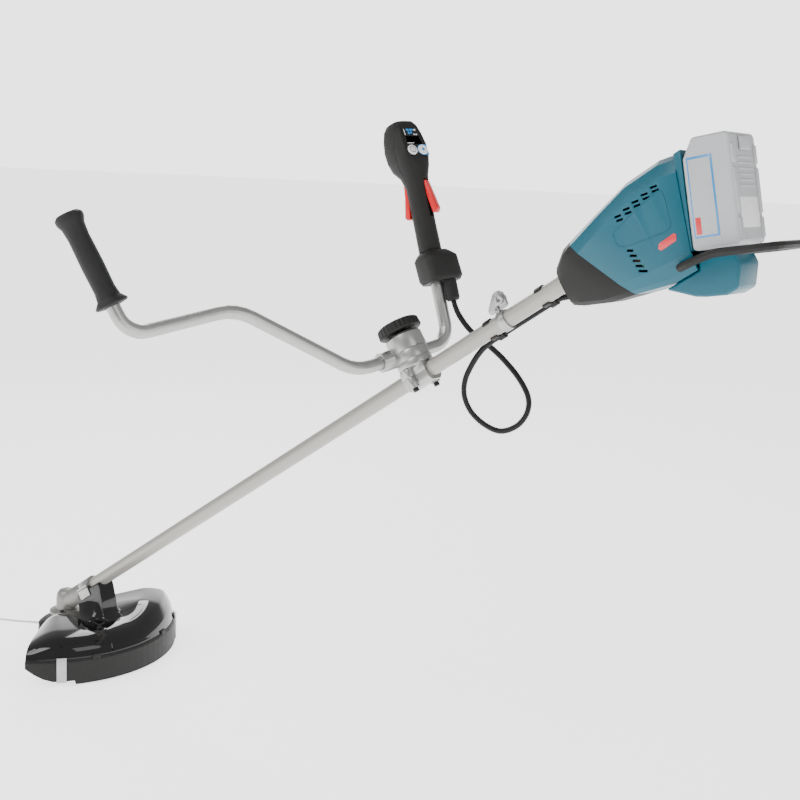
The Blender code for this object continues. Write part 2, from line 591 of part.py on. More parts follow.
def make_control(control):
    face = Matrix.Translation(FACE_ORIGIN) @ Matrix.Rotation(pi / 2 - FACE_LEAN, 4, "X")
    turned = Matrix.Rotation(TRIGGER_TURN, 4, "Z")
    body = skin([oval(half, front, back, height, power) for height, half, front, back, power in GRIP_SECTIONS])
    bore = rod(BAR_R + GAP, (0, 0, 0.150), (0, 0, 0.300), 24)
    wall = 0.0030
    hollow = skin([oval(half - wall, front - wall, back + wall, height, power, 24)
                   for height, half, front, back, power in GRIP_SECTIONS[4:9]])
    trigger_slot = moved(box((-0.0068, 0.0068), (0.0100, 0.0500), (0.2200, 0.2960)), turned)
    lever_slot = moved(box((-0.0083, 0.0083), (-0.0500, -0.0100), (0.2190, 0.2860)), turned)
    proud = moved(box((-0.05, 0.05), (-0.02, 0.09), (-0.0012, 0.03)), face)
    window_pocket = moved(box((-0.0178, 0.0178), (0.0345, 0.0515), (-0.0030, 0.01)), face)
    spots = {"power_button": -0.0100, "mode_button": 0.0118}
    holes = [moved(rod(0.0097, (x, 0.0070, -0.0080), (x, 0.0070, 0.01), 24), face) for x in spots.values()]

    front_waste = box((-0.1, 0.1), (-0.1, 0.0002), (0.1, 0.5))
    rear_waste = box((-0.1, 0.1), (-0.0002, 0.1), (0.1, 0.5))
    whole = cut(body, bore, hollow)
    front = cut(whole.copy(), front_waste, trigger_slot)
    piece("control_front_shell", front, control, "matte_black")
    rear = cut(whole, rear_waste, lever_slot, proud, window_pocket, *holes)
    piece("control_rear_shell", rear, control, "matte_black")

    window = moved(box((-0.0175, 0.0175), (0.0348, 0.0512), (-0.0027, -0.0008)), face)
    piece("display_window", window, control, "cyan")
    for name, x in spots.items():
        stem = moved(lathe([(0.0093, -0.0050), (0.0093, 0.0008), (0.0084, 0.0014)], 24), face)
        offset = face.to_3x3() @ Vector((x, 0.0070, 0))
        button = shifted(stem, *offset)
        piece(name, button, control, "white", origin=FACE_ORIGIN + offset)

    hinge = empty("trigger_turn", control, rotation=(0, 0, TRIGGER_TURN))
    trigger = [(0.0145, 0.2880), (0.0225, 0.2880), (0.0255, 0.2620), (0.0325, 0.2285), (0.0290, 0.2240),
               (0.0222, 0.2240), (0.0150, 0.2700)]
    piece("trigger", across_grip(trigger, 0.0062), hinge, "red", origin=(0, *TRIGGER_PIVOT))
    lever = [(-0.0145, 0.2830), (-0.0215, 0.2830), (-0.0325, 0.2310), (-0.0290, 0.2240), (-0.0222, 0.2240),
             (-0.0150, 0.2680)]
    piece("lock_off_lever", across_grip(lever, 0.0076), hinge, "red", origin=(0, *LEVER_PIVOT))


def make_collar_and_gland(control):
    x, y = 0.0080, -0.0040
    rows = [(0.1040, 0.0295), (0.1110, 0.0335), (0.1470, 0.0330), (0.1535, 0.0275), (0.1590, 0.0215)]
    loops = [[(px + x * min(1, (0.165 - z) / 0.03), py + y, pz) for px, py, pz in oval(r, 0.9 * r, -0.9 * r, z, 4)]
             for z, r in rows]
    bore = rod(BAR_R + GAP, (0, 0, 0.09), (0, 0, 0.17), 24)
    piece("control_collar", cut(skin(loops), bore), control, "matte_black")
    inner = CABLE_R + 0.0010
    gland = [(inner, 0.0930), (inner, 0.0680), (0.0100, 0.0680), (0.0120, 0.0720), (0.0120, 0.1030),
             (0.0060, 0.1037)]
    piece("cable_gland", shifted(lathe(gland, 20), 0.0130, -0.0200), control, "grip_rubber")


# ---------------------------------------------------------------- cable, clips and harness hanger

def make_cable(stance):
    points = smooth_path(CABLE_ROUTE, 0.0105)
    curve = bpy.data.curves.new("control_cable", "CURVE")
    curve.dimensions = "3D"
    curve.bevel_depth = CABLE_R
    curve.bevel_resolution = 2
    curve.use_fill_caps = True
    spline = curve.splines.new("POLY")
    spline.points.add(len(points) - 1)
    for slot, point in zip(spline.points, points):
        slot.co = (*point, 1)
    item = bpy.data.objects.new("control_cable", curve)
    bpy.context.scene.collection.objects.link(item)
    item.parent = stance
    curve.materials.append(finish_material("control_cable", "grip_rubber"))


def make_clips(stance):
    """Open rings that snap round the pipe and hold the cable on its far side."""
    y, z = CLIPPED
    mouth = [radians(192 - 50), radians(192 - 25), radians(192), radians(192 + 25), radians(192 + 50)]
    for name, s in (("cable_clip_front", 0.161), ("cable_clip_rear", 0.270)):
        start, end = s - 0.0065, s + 0.0065
        around_pipe = rod(0.0168, (start, 0, 0), (end, 0, 0), 32)
        around_cable = rod(0.0076, (start, y, z), (end, y, z), 20)
        web = moved(box((start, end), (0.0120, 0.0220), (-0.0055, 0.0055)), Matrix.Rotation(atan2(z, y), 4, "X"))
        pipe = rod(PIPE_R + GAP, (start - 0.01, 0, 0), (end + 0.01, 0, 0), 32)
        cable = rod(CABLE_R + 2 * GAP, (start - 0.01, y, z), (end + 0.01, y, z), 20)
        opening = skin([[(x, 0, 0)] + [(x, 0.03 * cos(a), 0.03 * sin(a)) for a in mouth]
                        for x in (start - 0.01, end + 0.01)])
        piece(name, cut(joined(around_pipe, web, around_cable), pipe, cable, opening), stance, "matte_black")


def make_hanger(stance):
    x0, x1, ear_end = 0.1840, 0.1980, 0.1905
    band = joined(rod(0.0172, (x0, 0, 0), (x1, 0, 0), 32),
                  box((x0, ear_end), (-0.0058, 0.0058), (0.0100, 0.0262)))
    slot = box((x0 - 0.01, x1 + 0.01), (-0.0026, 0.0026), (0.0120, 0.0400))
    pipe = rod(PIPE_R + GAP, (0.17, 0, 0), (0.21, 0, 0), 32)
    screw_hole = rod(0.0019, (0.1872, -0.01, 0.0222), (0.1872, 0.01, 0.0222), 16)
    piece("hanger_band", cut(band, pipe, slot, screw_hole), stance, "polished_alloy")
    lug = [(0.1735, 0.0185), (0.1705, 0.0220), (0.1705, 0.0275), (0.1890, 0.0455), (0.1960, 0.0488),
           (0.2040, 0.0468), (0.2080, 0.0415), (0.2080, 0.0210), (0.2055, 0.0185)]
    boss = rod(0.0082, (HARNESS_EYE[0], -0.0065, HARNESS_EYE[1]), (HARNESS_EYE[0], 0.0065, HARNESS_EYE[1]), 24)
    eye = rod(0.0045, (HARNESS_EYE[0], -0.01, HARNESS_EYE[1]), (HARNESS_EYE[0], 0.01, HARNESS_EYE[1]), 20)
    screw_hole = rod(0.0019, (0.1872, -0.01, 0.0222), (0.1872, 0.01, 0.0222), 16)
    plate = joined(prism(lug, (-0.0023, 0.0023)), boss)
    piece("hanger_lug", cut(plate, eye, screw_hole), stance, "steel")


# ---------------------------------------------------------------- motor housing

class Station:
    """A slanted cross-section of the motor housing: x = start + shear * z."""

    def __init__(self, start, shear, top, bottom, half, facet):
        self.start, self.shear = start, shear
        self.top, self.bottom, self.half, self.facet = top, bottom, half, facet

    def outline(self, wall=0.0, seam=0.0, shift=0.0):
        """Half the section, from top centre to bottom centre on +Y."""
        w, top, bottom = self.half - wall, self.top - wall, self.bottom + wall
        points = [(seam, top), (0.52 * w, top), (0.84 * w, top - 0.0085), (w, top - 0.0260),
                  (w, self.facet), (0.86 * w, bottom + 0.0070), (0.74 * w, bottom), (seam, bottom)]
        return [(self.start + shift + self.shear * z, y, z) for y, z in points]


STATIONS = [Station(0.3820, -0.50, 0.0430, -0.0786, 0.0430, -0.0560),
            Station(0.4300, -0.25, 0.0549, -0.0868, 0.0480, -0.0610),
            Station(0.4850, 0.00, 0.0686, -0.0955, 0.0520, -0.0670),
            Station(0.5300, 0.20, 0.0690, -0.0955, 0.0520, -0.0700),
            Station(0.5530, 0.3225, 0.0620, -0.0955, 0.0500, -0.0700)]
WALL = 0.0030


def mirrored(points):
    return [(x, -y, z) for x, y, z in points]


def make_vents():
    """Cutters for the paired upper vents and the single lower ones, through one side."""
    cutters = []
    for row in range(5):
        for drop in (0.0, 0.0062):
            slot = box((0, 0.0112), (0.0380, 0.0600), (-0.0017, 0.0017))
            place = Matrix.Translation((0.4537 + 0.0170 * row, 0, 0.0300 + 0.0017 * row - drop))
            cutters.append(moved(slot, place @ Matrix.Rotation(radians(12), 4, "Y")))
    for row in range(5):
        slot = box((0, 0.0105 + 0.0011 * row), (0.0380, 0.0600), (-0.0018, 0.0018))
        place = Matrix.Translation((0.4471 + 0.0003 * row, 0, -0.0205 - 0.0085 * row))
        cutters.append(moved(slot, place @ Matrix.Rotation(radians(30), 4, "Y")))
    return cutters


def make_housing(stance):
    for name, flip in (("housing_right_shell", False), ("housing_left_shell", True)):
        loops = []
        for station in STATIONS:
            outer = station.outline(seam=0.00015)
            inner = list(reversed(station.outline(wall=WALL, seam=0.00015)))
            loops.append(outer + inner)
        shell = cut(skin(loops), *make_vents())
        if flip:
            shell.transform(Matrix.Scale(-1, 4, (0, 1, 0)))
            shell.flip_normals()
        piece(name, shell, stance, "teal")


def make_front_cap(stance):
    def nose(x, shear, top, bottom, half, wall=0.0):
        station = Station(x, shear, top, bottom, half, (top + 2 * bottom) / 3)
        w, top, bottom = half - wall, top - wall, bottom + wall
        points = [(0.0, top), (0.52 * w, top), (0.84 * w, top - 0.0085), (w, top - 0.0240),
                  (w, station.facet), (0.86 * w, bottom + 0.0070), (0.60 * w, bottom), (0.0, bottom)]
        right = [(x + shear * z, y, z) for y, z in points]
        return right + mirrored(list(reversed(right[1:-1])))

    def seat(wall=0.0, shift=-GAP):
        right = STATIONS[0].outline(wall=wall, shift=shift)
        return right + mirrored(list(reversed(right[1:-1])))

    outside = skin([nose(0.3160, 0.0, 0.0230, -0.0400, 0.0220), nose(0.3290, -0.08, 0.0290, -0.0500, 0.0290),
                    nose(0.3560, -0.30, 0.0395, -0.0680, 0.0385), seat()])
    inside = skin([nose(0.3420, -0.15, 0.0340, -0.0560, 0.0320, WALL), nose(0.3560, -0.30, 0.0395, -0.0680,
                   0.0385, WALL), seat(WALL, 0.010)])
    boss = rod(0.0240, (0.3250, 0, 0), (0.3917, 0, 0), 32)
    pipe = rod(PIPE_R + GAP, (0.3000, 0, 0), (0.3525, 0, 0), 32)
    shaft = rod(0.0075, (0.3400, 0, 0), (0.4000, 0, 0), 20)
    last, end = Vector(CABLE_ROUTE[-2]), Vector(CABLE_ROUTE[-1])
    cable = rod(CABLE_R + 0.0006, last - 2 * (end - last), end + (end - last).normalized() * 0.0015, 20)
    shell = cut(joined(cut(outside, inside), boss), pipe, shaft, cable)
    piece("housing_front_cap", shell, stance, "matte_black")


def battery_point(out, up):
    """An (x, z) point in the pipe's frame from the battery's own directions."""
    return (out * cos(BATTERY_TILT) + up * sin(BATTERY_TILT), -out * sin(BATTERY_TILT) + up * cos(BATTERY_TILT))


def make_rear(stance):
    plate = prism([(0.5308, -0.0700), (0.5728, 0.0600), (0.5840, 0.0600), (0.5322, -0.0700)],
                  (-0.0480, 0.0480))
    rails = prism([battery_point(0.5120, 0.148), battery_point(0.5275, 0.148), battery_point(0.5275, 0.220),
                   battery_point(0.5120, 0.220)], (-0.0210, 0.0210))
    piece("rear_plate", joined(plate, rails), stance, "teal")
    pod = [(0.4660, -0.0958), (0.5229, -0.0958), (0.5312, -0.0768), (0.5800, -0.0978), (0.5800, -0.1180),
           (0.5600, -0.1460), (0.5410, -0.1460), (0.5140, -0.1340), (0.5000, -0.1260)]
    piece("lower_cover", softened(prism(pod, (-0.0360, 0.0360)), 0.0030), stance, "teal")
    board = box((0.4560, 0.5060), (-0.0455, 0.0455), (-0.0520, -0.0480))
    piece("controller_board", board, stance, "board_green")


def make_motor(stance):
    stator = [(0.0208, 0.3920), (0.0370, 0.3920), (0.0370, 0.4300), (0.0208, 0.4300)]
    piece("motor_stator", moved(lathe(stator, 32, ring=True), ALONG_PIPE), stance, "copper")
    rotor = [(0.0040, 0.3755), (0.0040, 0.3925), (0.0203, 0.3925), (0.0203, 0.4300), (0.0050, 0.4300),
             (0.0050, 0.4360)]
    piece("motor_rotor", moved(lathe(rotor, 24), ALONG_PIPE), stance, "steel")


def make_battery(stance):
    frame = empty("battery_frame", stance, rotation=(0, BATTERY_TILT, 0))
    side = [(0.5203, 0.1370), (0.5203, 0.2600), (0.5360, 0.2880), (0.5860, 0.2880), (0.5900, 0.2830),
            (0.5900, 0.1370), (0.5850, 0.1330), (0.5240, 0.1330)]
    body = softened(prism(side, (-0.0480, 0.0480)), 0.0030)
    recess = box((0.5100, 0.5287), (-0.0216, 0.0216), (0.1200, 0.2260))
    piece("battery_case", cut(body, recess), frame, "pale_grey")
    latch = softened(box((0.5903, 0.5945), (-0.0170, 0.0170), (0.2620, 0.2810)), 0.0012)
    piece("battery_latch", latch, frame, "pale_grey")


def make_battery_guard(stance):
    half = 0.0600
    left = [(0.5060, -0.0525, -0.0825), (0.5240, -half, -0.0850), (0.5520, -half, -0.0885),
            (0.5680, -half, -0.0930), (0.6000, -half, -0.1075), (0.6280, -half + 0.005, -0.1195),
            (0.6420, -half + 0.020, -0.1255)]
    route = left + [(x, -y, z) for x, y, z in reversed(left)]
    points = smooth_path(route, 0.0090)
    curve = bpy.data.curves.new("battery_guard_bar", "CURVE")
    curve.dimensions = "3D"
    curve.bevel_depth = 0.0060
    curve.bevel_resolution = 2
    curve.use_fill_caps = True
    spline = curve.splines.new("POLY")
    spline.points.add(len(points) - 1)
    for slot, point in zip(spline.points, points):
        slot.co = (*point, 1)
    item = bpy.data.objects.new("battery_guard_bar", curve)
    bpy.context.scene.collection.objects.link(item)
    item.parent = stance
    curve.materials.append(finish_material("battery_guard_bar", "matte_black"))


# ---------------------------------------------------------------- assembly

def bar_end_frame(name, lean, corner, end):
    """An empty on the bar's last bend whose Z runs up that arm."""
    tilt = atan2(end[0] - corner[0], end[1] - corner[1])
    return empty(name, lean, (corner[0], 0, corner[1]), (0, tilt, 0))


def main():
    for item in list(bpy.data.objects):
        bpy.data.objects.remove(item, do_unlink=True)
    clamp_place = -(Matrix.Rotation(-PITCH, 3, "Y") @ LUG_FACE)
    stance = empty("stance", location=clamp_place, rotation=(0, -PITCH, 0))
    head = empty("head_centre", location=clamp_place + HEAD_S * PIPE_DIR)
    swing = empty("handle_swing", stance, rotation=(0, 0, pi / 2 - SWEEP))
    lean = empty("handle_lean", swing, (0, BAR_FORWARD, BAR_HEIGHT), (LEAN, 0, 0))
    control = bar_end_frame("control_axis", lean, BAR_CORNERS[-2], BAR_CORNERS[-1])
    grip = bar_end_frame("grip_axis", lean, BAR_CORNERS[1], BAR_CORNERS[0])

    make_pipe_and_shaft(stance)
    make_gears(head)
    make_gear_case(head)
    make_trimmer_head(head)
    make_guard(head)
    make_pipe_clamp(stance)
    make_handle_clamp(swing)
    make_clamp_knob(swing)
    make_handlebar(lean)
    make_left_grip(grip)
    make_control(control)
    make_collar_and_gland(control)
    make_cable(stance)
    make_clips(stance)
    make_hanger(stance)
    make_housing(stance)
    make_front_cap(stance)
    make_rear(stance)
    make_motor(stance)
    make_battery(stance)
    make_battery_guard(stance)


main()
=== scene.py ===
"""Looks for the battery brush cutter: finishes, rounded castings, mouldings, cable and the studio."""

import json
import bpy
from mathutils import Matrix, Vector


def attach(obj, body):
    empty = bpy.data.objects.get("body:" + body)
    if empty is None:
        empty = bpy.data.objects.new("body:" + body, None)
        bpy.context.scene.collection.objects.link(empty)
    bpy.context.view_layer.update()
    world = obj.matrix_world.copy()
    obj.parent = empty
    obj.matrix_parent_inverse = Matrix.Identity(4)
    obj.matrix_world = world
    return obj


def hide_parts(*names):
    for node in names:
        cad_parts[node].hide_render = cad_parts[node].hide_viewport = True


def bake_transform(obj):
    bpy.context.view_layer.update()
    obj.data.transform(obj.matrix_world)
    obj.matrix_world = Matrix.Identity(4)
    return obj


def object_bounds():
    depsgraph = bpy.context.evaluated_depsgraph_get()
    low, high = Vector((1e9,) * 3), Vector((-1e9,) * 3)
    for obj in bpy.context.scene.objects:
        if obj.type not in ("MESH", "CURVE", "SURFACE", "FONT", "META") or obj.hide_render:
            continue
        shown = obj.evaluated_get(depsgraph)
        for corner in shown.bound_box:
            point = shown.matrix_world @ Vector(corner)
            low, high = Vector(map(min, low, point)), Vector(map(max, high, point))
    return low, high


bl_info = {
    "name": "Brush Cutter Looks",
    "version": (1, 0, 0),
    "blender": (4, 5, 0),
    "location": "View3D > Sidebar > Brush Cutter",
    "description": "Dresses the packed brush cutter with finished pieces, materials and a small studio",
    "category": "Object",
}

from math import atan2, cos, pi, radians, sin

import bmesh
import bpy
from bpy.props import FloatProperty, FloatVectorProperty, IntProperty, PointerProperty
from mathutils import Matrix, Vector

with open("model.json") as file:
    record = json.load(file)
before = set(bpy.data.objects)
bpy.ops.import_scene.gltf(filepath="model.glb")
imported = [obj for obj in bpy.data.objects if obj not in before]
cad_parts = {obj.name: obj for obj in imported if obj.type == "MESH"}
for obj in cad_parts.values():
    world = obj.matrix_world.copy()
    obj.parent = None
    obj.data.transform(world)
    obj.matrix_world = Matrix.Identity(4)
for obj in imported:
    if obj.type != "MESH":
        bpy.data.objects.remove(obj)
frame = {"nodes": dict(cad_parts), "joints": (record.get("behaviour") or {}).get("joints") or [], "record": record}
CAD_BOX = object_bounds()

JOINTS = {joint["name"]: joint for joint in frame["joints"]}
BODY_OF = {node: body for body, nodes in frame["record"]["behaviour"]["bodies"].items() for node in nodes}
SLOT_OF = {row["node"]: row["material_slot"] for row in frame["record"]["subparts"]}
PIPE_AXIS = Vector(JOINTS["drive_spin"]["axis"])
PITCH = atan2(PIPE_AXIS.z, PIPE_AXIS.x)
CLAMP = Vector(JOINTS["handle_swing"]["pos_m"])      # where the handle's axis meets the pipe's
STANCE = Matrix.Translation(CLAMP) @ Matrix.Rotation(-PITCH, 4, "Y")
HEAD = Matrix.Translation(JOINTS["head_spin"]["pos_m"])
SWEEP, LEAN = radians(20), radians(12)
BAR_HEIGHT, BAR_FORWARD = 0.0440, 0.0170
SWING = STANCE @ Matrix.Rotation(pi / 2 - SWEEP, 4, "Z")
BAR_PLANE = SWING @ Matrix.Translation((0, BAR_FORWARD, BAR_HEIGHT)) @ Matrix.Rotation(LEAN, 4, "X")
RIGHT_BEND, RIGHT_END = (0.095, 0.0), (0.1394, 0.2870)
CABLE_SPACING = 0.0018

# The control cable's route, in the pipe's frame
CABLE_ROUTE = [
    (0.0610, 0.1072, 0.1249), (0.0556, 0.1056, 0.1036), (0.0550, 0.1020, 0.0760), (0.0680, 0.0930, 0.0380),
    (0.0920, 0.0850, -0.0020), (0.1100, 0.0780, -0.0370), (0.1260, 0.0680, -0.0780),
    (0.1320, 0.0580, -0.1140), (0.1230, 0.0480, -0.1370), (0.0990, 0.0420, -0.1480),
    (0.0690, 0.0380, -0.1430), (0.0480, 0.0360, -0.1210), (0.0360, 0.0340, -0.0910),
    (0.0390, 0.0320, -0.0620), (0.0560, 0.0300, -0.0400), (0.0850, 0.0270, -0.0240),
    (0.1120, 0.0235, -0.0150), (0.1340, 0.0218, -0.0120), (0.1500, 0.0215, -0.0115),
    (0.1720, 0.0215, -0.0115), (0.2050, 0.0215, -0.0115), (0.2400, 0.0215, -0.0115),
    (0.2620, 0.0215, -0.0115), (0.2790, 0.0212, -0.0118), (0.2920, 0.0200, -0.0150),
    (0.3060, 0.0165, -0.0207), (0.3150, 0.01416, -0.0242), (0.3240, 0.01182, -0.0277),
    (0.3330, 0.0095, -0.0312),
]

# The housing's side: its raised bead, its badge's centre, and rows of start, half width and shear
PANEL = [(0.4395, 0.0120), (0.4700, 0.0185), (0.5050, 0.0240), (0.5300, 0.0270), (0.5340, 0.0180),
         (0.5280, -0.0060), (0.5200, -0.0270), (0.4900, -0.0240), (0.4500, -0.0150), (0.4380, -0.0060)]
BADGE = (0.5080, -0.0420)
HALF_WIDTHS = [(0.3820, 0.0430, -0.50), (0.4300, 0.0480, -0.25), (0.4850, 0.0520, 0.0),
               (0.5300, 0.0520, 0.20)]


def arm_frame(bend, end):
    """A frame on one of the bar's last bends whose Z runs up that arm."""
    tilt = atan2(end[0] - bend[0], end[1] - bend[1])
    return BAR_PLANE @ Matrix.Translation((bend[0], 0, bend[1])) @ Matrix.Rotation(tilt, 4, "Y")


CONTROL = arm_frame(RIGHT_BEND, RIGHT_END)
BATTERY = STANCE @ Matrix.Rotation(radians(22), 4, "Y")
FACE = (CONTROL @ Matrix.Translation((0, -0.0235, 0.330))
        @ Matrix.Rotation(pi / 2 - atan2(0.0135, 0.055), 4, "X"))
BUTTON_SPOTS = ((-0.0100, 0.0070), (0.0118, 0.0070))      # the power and mode buttons on the face
GUARD_BACK, RIM_Z = -0.035, -0.0420        # the guard's arc centre behind the spindle; its rim's height
GUARD_ENDS = (radians(-53), radians(53))
GUARD_PROFILE = [(0.100, -0.0005), (0.170, -0.0005), (0.205, -0.0020), (0.228, -0.0085),
                 (0.243, -0.0225), (0.2500, -0.0420)]


# ---------------------------------------------------------------- settings

class CutterColours(bpy.types.PropertyGroup):
    """Colours that a user would change."""

    teal: FloatVectorProperty(name="Housing", description="Motor housing plastic", subtype="COLOR",
                              size=3, default=(0.004, 0.085, 0.125))
    alloy: FloatVectorProperty(name="Alloy", description="Handlebar and clamp metal", subtype="COLOR",
                               size=3, default=(0.38, 0.38, 0.37))
    pipe: FloatVectorProperty(name="Pipe", description="Main pipe's coating", subtype="COLOR",
                              size=3, default=(0.34, 0.325, 0.30))
    red: FloatVectorProperty(name="Triggers", description="Trigger and lock-off lever", subtype="COLOR",
                             size=3, default=(0.62, 0.008, 0.012))
    battery: FloatVectorProperty(name="Battery", description="Battery pack plastic", subtype="COLOR",
                                 size=3, default=(0.40, 0.41, 0.42))
    accent: FloatVectorProperty(name="Accent", description="Display and mode button's surround",
                                subtype="COLOR", size=3, default=(0.004, 0.22, 0.55))


class CutterSizes(bpy.types.PropertyGroup):
    """Sizes of the finishing details."""

    cable_radius: FloatProperty(name="Cable radius", description="Half the corrugated sleeve's width",
                                unit="LENGTH", default=0.0050)
    cable_groove: FloatProperty(name="Cable groove", description="Depth of the sleeve's grooves",
                                unit="LENGTH", default=0.0009)
    edge: FloatProperty(name="Edge rounding", description="Rounding on small mouldings",
                        unit="LENGTH", default=0.0006)
    battery_ribs: IntProperty(name="Battery ribs", description="Ribs on the pack's rear face", default=6)


class StageSettings(bpy.types.PropertyGroup):
    """The studio."""

    floor: FloatVectorProperty(name="Floor", description="Floor colour", subtype="COLOR", size=3,
                               default=(0.95, 0.95, 0.95))
    backdrop: FloatProperty(name="Backdrop", description="Brightness behind the machine", default=3.0)
    surround: FloatProperty(name="Surround", description="Brightness of the rest of the room", default=0.55)
    glow: FloatProperty(name="Floor glow", description="Floor's own light", default=1.9)
    lens: FloatProperty(name="Lens", description="Camera focal length in millimetres", default=57.72)


# ---------------------------------------------------------------- mesh helpers

def link(mesh, name):
    item = bpy.data.objects.new(name, mesh)
    bpy.context.scene.collection.objects.link(item)
    return item


def skin(loops, ring=False):
    """Mesh a row of equal loops; ring joins the last loop to the first, otherwise both ends are capped."""
    bm = bmesh.new()
    rows = [[bm.verts.new(point) for point in loop] for loop in loops]
    pairs = list(zip(rows, rows[1:]))
    if ring:
        pairs.append((rows[-1], rows[0]))
    else:
        bm.faces.new(list(reversed(rows[0])))
        bm.faces.new(rows[-1])
    for low, high in pairs:
        for i, vert in enumerate(low):
            j = (i + 1) % len(low)
            bm.faces.new((vert, low[j], high[j], high[i]))
    bmesh.ops.recalc_face_normals(bm, faces=bm.faces)
    if bm.calc_volume(signed=True) < 0:
        bmesh.ops.reverse_faces(bm, faces=bm.faces)
    mesh = bpy.data.meshes.new("work")
    bm.to_mesh(mesh)
    bm.free()
    return mesh


def circle(radius, height, sides):
    return [(radius * cos(2 * pi * i / sides), radius * sin(2 * pi * i / sides), height) for i in range(sides)]


def lathe(profile, sides=64, ring=False):
    return skin([circle(radius, height, sides) for radius, height in profile], ring)


def box(x, y, z):
    return skin([[(x[i], y[j], level) for i, j in ((0, 0), (1, 0), (1, 1), (0, 1))] for level in z])


def prism(outline, y):
    return skin([[(px, side, pz) for px, pz in outline] for side in y])


def moved(mesh, matrix):
    mesh.transform(matrix)
    return mesh


def smooth_path(route, spacing):
    """Points at an even spacing along a smooth curve through a route."""
    route = [Vector(p) for p in route]
    padded = [2 * route[0] - route[1], *route, 2 * route[-1] - route[-2]]
    fine = []
    for a, b, c, d in zip(padded, padded[1:], padded[2:], padded[3:]):
        for k in range(30):
            t = k / 30
            fine.append(0.5 * (2 * b + (c - a) * t + (2 * a - 5 * b + 4 * c - d) * t ** 2
                               + (3 * b - a - 3 * c + d) * t ** 3))
    fine.append(route[-1])
    length = sum((q - p).length for p, q in zip(fine, fine[1:]))
    count = round(length / spacing)
    points, walked, target = [fine[0]], 0.0, length / count
    for p, q in zip(fine, fine[1:]):
        piece_length = (q - p).length
        while walked + piece_length >= target and len(points) < count:
            points.append(p.lerp(q, (target - walked) / piece_length))
            target += length / count
        walked += piece_length
    return [*points, fine[-1]], length


def smooth_profile(points, steps=6):
    """Extra points along a smooth curve through a flat profile."""
    flat = [Vector((*p, 0)) for p in points]
    padded = [2 * flat[0] - flat[1], *flat, 2 * flat[-1] - flat[-2]]
    fine = []
    for a, b, c, d in zip(padded, padded[1:], padded[2:], padded[3:]):
        for k in range(steps):
            t = k / steps
            p = 0.5 * (2 * b + (c - a) * t + (2 * a - 5 * b + 4 * c - d) * t ** 2
                       + (3 * b - a - 3 * c + d) * t ** 3)
            fine.append((p.x, p.y))
    return [*fine, points[-1]]


def settled(item):
    """Turn an object's modifiers into a plain mesh."""
    graph = bpy.context.evaluated_depsgraph_get()
    mesh = bpy.data.meshes.new_from_object(item.evaluated_get(graph))
    item.modifiers.clear()
    old = item.data
    item.data = mesh
    if old.users == 0:
        bpy.data.meshes.remove(old)
    return item


def row_of_copies():
    """A Geometry Nodes group that repeats a piece along a straight row."""
    group = bpy.data.node_groups.new("row_of_copies", "GeometryNodeTree")
    sockets = {}
    for name, kind in (("Geometry", "Geometry"), ("Count", "Int"), ("Step", "Vector"),
                       ("Material", "Material")):
        sockets[name] = group.interface.new_socket(name=name, in_out="INPUT", socket_type="NodeSocket" + kind)
    group.interface.new_socket(name="Geometry", in_out="OUTPUT", socket_type="NodeSocketGeometry")
    start, row, place, real, paint, end = (group.nodes.new(kind) for kind in (
        "NodeGroupInput", "GeometryNodeMeshLine", "GeometryNodeInstanceOnPoints",
        "GeometryNodeRealizeInstances", "GeometryNodeSetMaterial", "NodeGroupOutput"))
    for a, output, b, socket in ((start, "Count", row, "Count"), (start, "Step", row, "Offset"),
                                 (row, "Mesh", place, "Points"), (start, "Geometry", place, "Instance"),
                                 (place, "Instances", real, "Geometry"), (real, "Geometry", paint, "Geometry"),
                                 (start, "Material", paint, "Material"), (paint, "Geometry", end, "Geometry")):
        group.links.new(a.outputs[output], b.inputs[socket])
    return group, {name: socket.identifier for name, socket in sockets.items()}


def repeated(item, count, step, material):
    """Repeat a piece in a row, then make the row one plain mesh."""
    group, keys = row_of_copies()
    modifier = item.modifiers.new("row", "NODES")
    modifier.node_group = group
    modifier[keys["Count"]] = count
    modifier[keys["Step"]] = step
    modifier[keys["Material"]] = material
    return settled(item)


def smooth(item, angle=32):
    item.data.polygons.foreach_set("use_smooth", [True] * len(item.data.polygons))
    item.data.set_sharp_from_angle(angle=radians(angle))
    return item


def add_bevel(item, width, segments=2, angle=30):
    bevel = item.modifiers.new("bevel", "BEVEL")
    bevel.width = width
    bevel.segments = segments
    bevel.limit_method = "ANGLE"
    bevel.angle_limit = radians(angle)
    bevel.use_clamp_overlap = True
    return item


def cut_away(item, meshes):
    """Subtract meshes from an object with the exact Boolean."""
    tools = [link(mesh, "cutter") for mesh in meshes]
    for tool in tools:
        boolean = item.modifiers.new("cut", "BOOLEAN")
        boolean.operation = "DIFFERENCE"
        boolean.solver = "EXACT"
        boolean.object = tool
    settled(item)
    for tool in tools:
        bpy.data.objects.remove(tool, do_unlink=True)
    return item


def dressed(item, finish, body, slot, *nodes):
    """Give a finished piece its material and its body, and hide the CAD nodes that it stands for."""
    item.data.materials.clear()
    item.data.materials.append(finish)
    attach(item, body)
    if nodes:
        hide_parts(*nodes)
    return item


def rounded_copy(node, width, finish, angle=30, segments=2, smooth_angle=32):
    """A merged copy of a CAD node with its edges rounded, standing for that node."""
    bm = bmesh.new()
    bm.from_mesh(frame["nodes"][node].data)
    bmesh.ops.remove_doubles(bm, verts=bm.verts, dist=0.000002)
    bmesh.ops.dissolve_limit(bm, angle_limit=radians(1.0), verts=bm.verts, edges=bm.edges)
    mesh = bpy.data.meshes.new(node + "_rounded")
    bm.to_mesh(mesh)
    bm.free()
    item = link(mesh, node + "_rounded")
    add_bevel(item, width, segments, angle)
    settled(item)
    smooth(item, smooth_angle)
    return dressed(item, finish, BODY_OF[node], SLOT_OF[node], node)


# ---------------------------------------------------------------- materials

FINISHES = {}


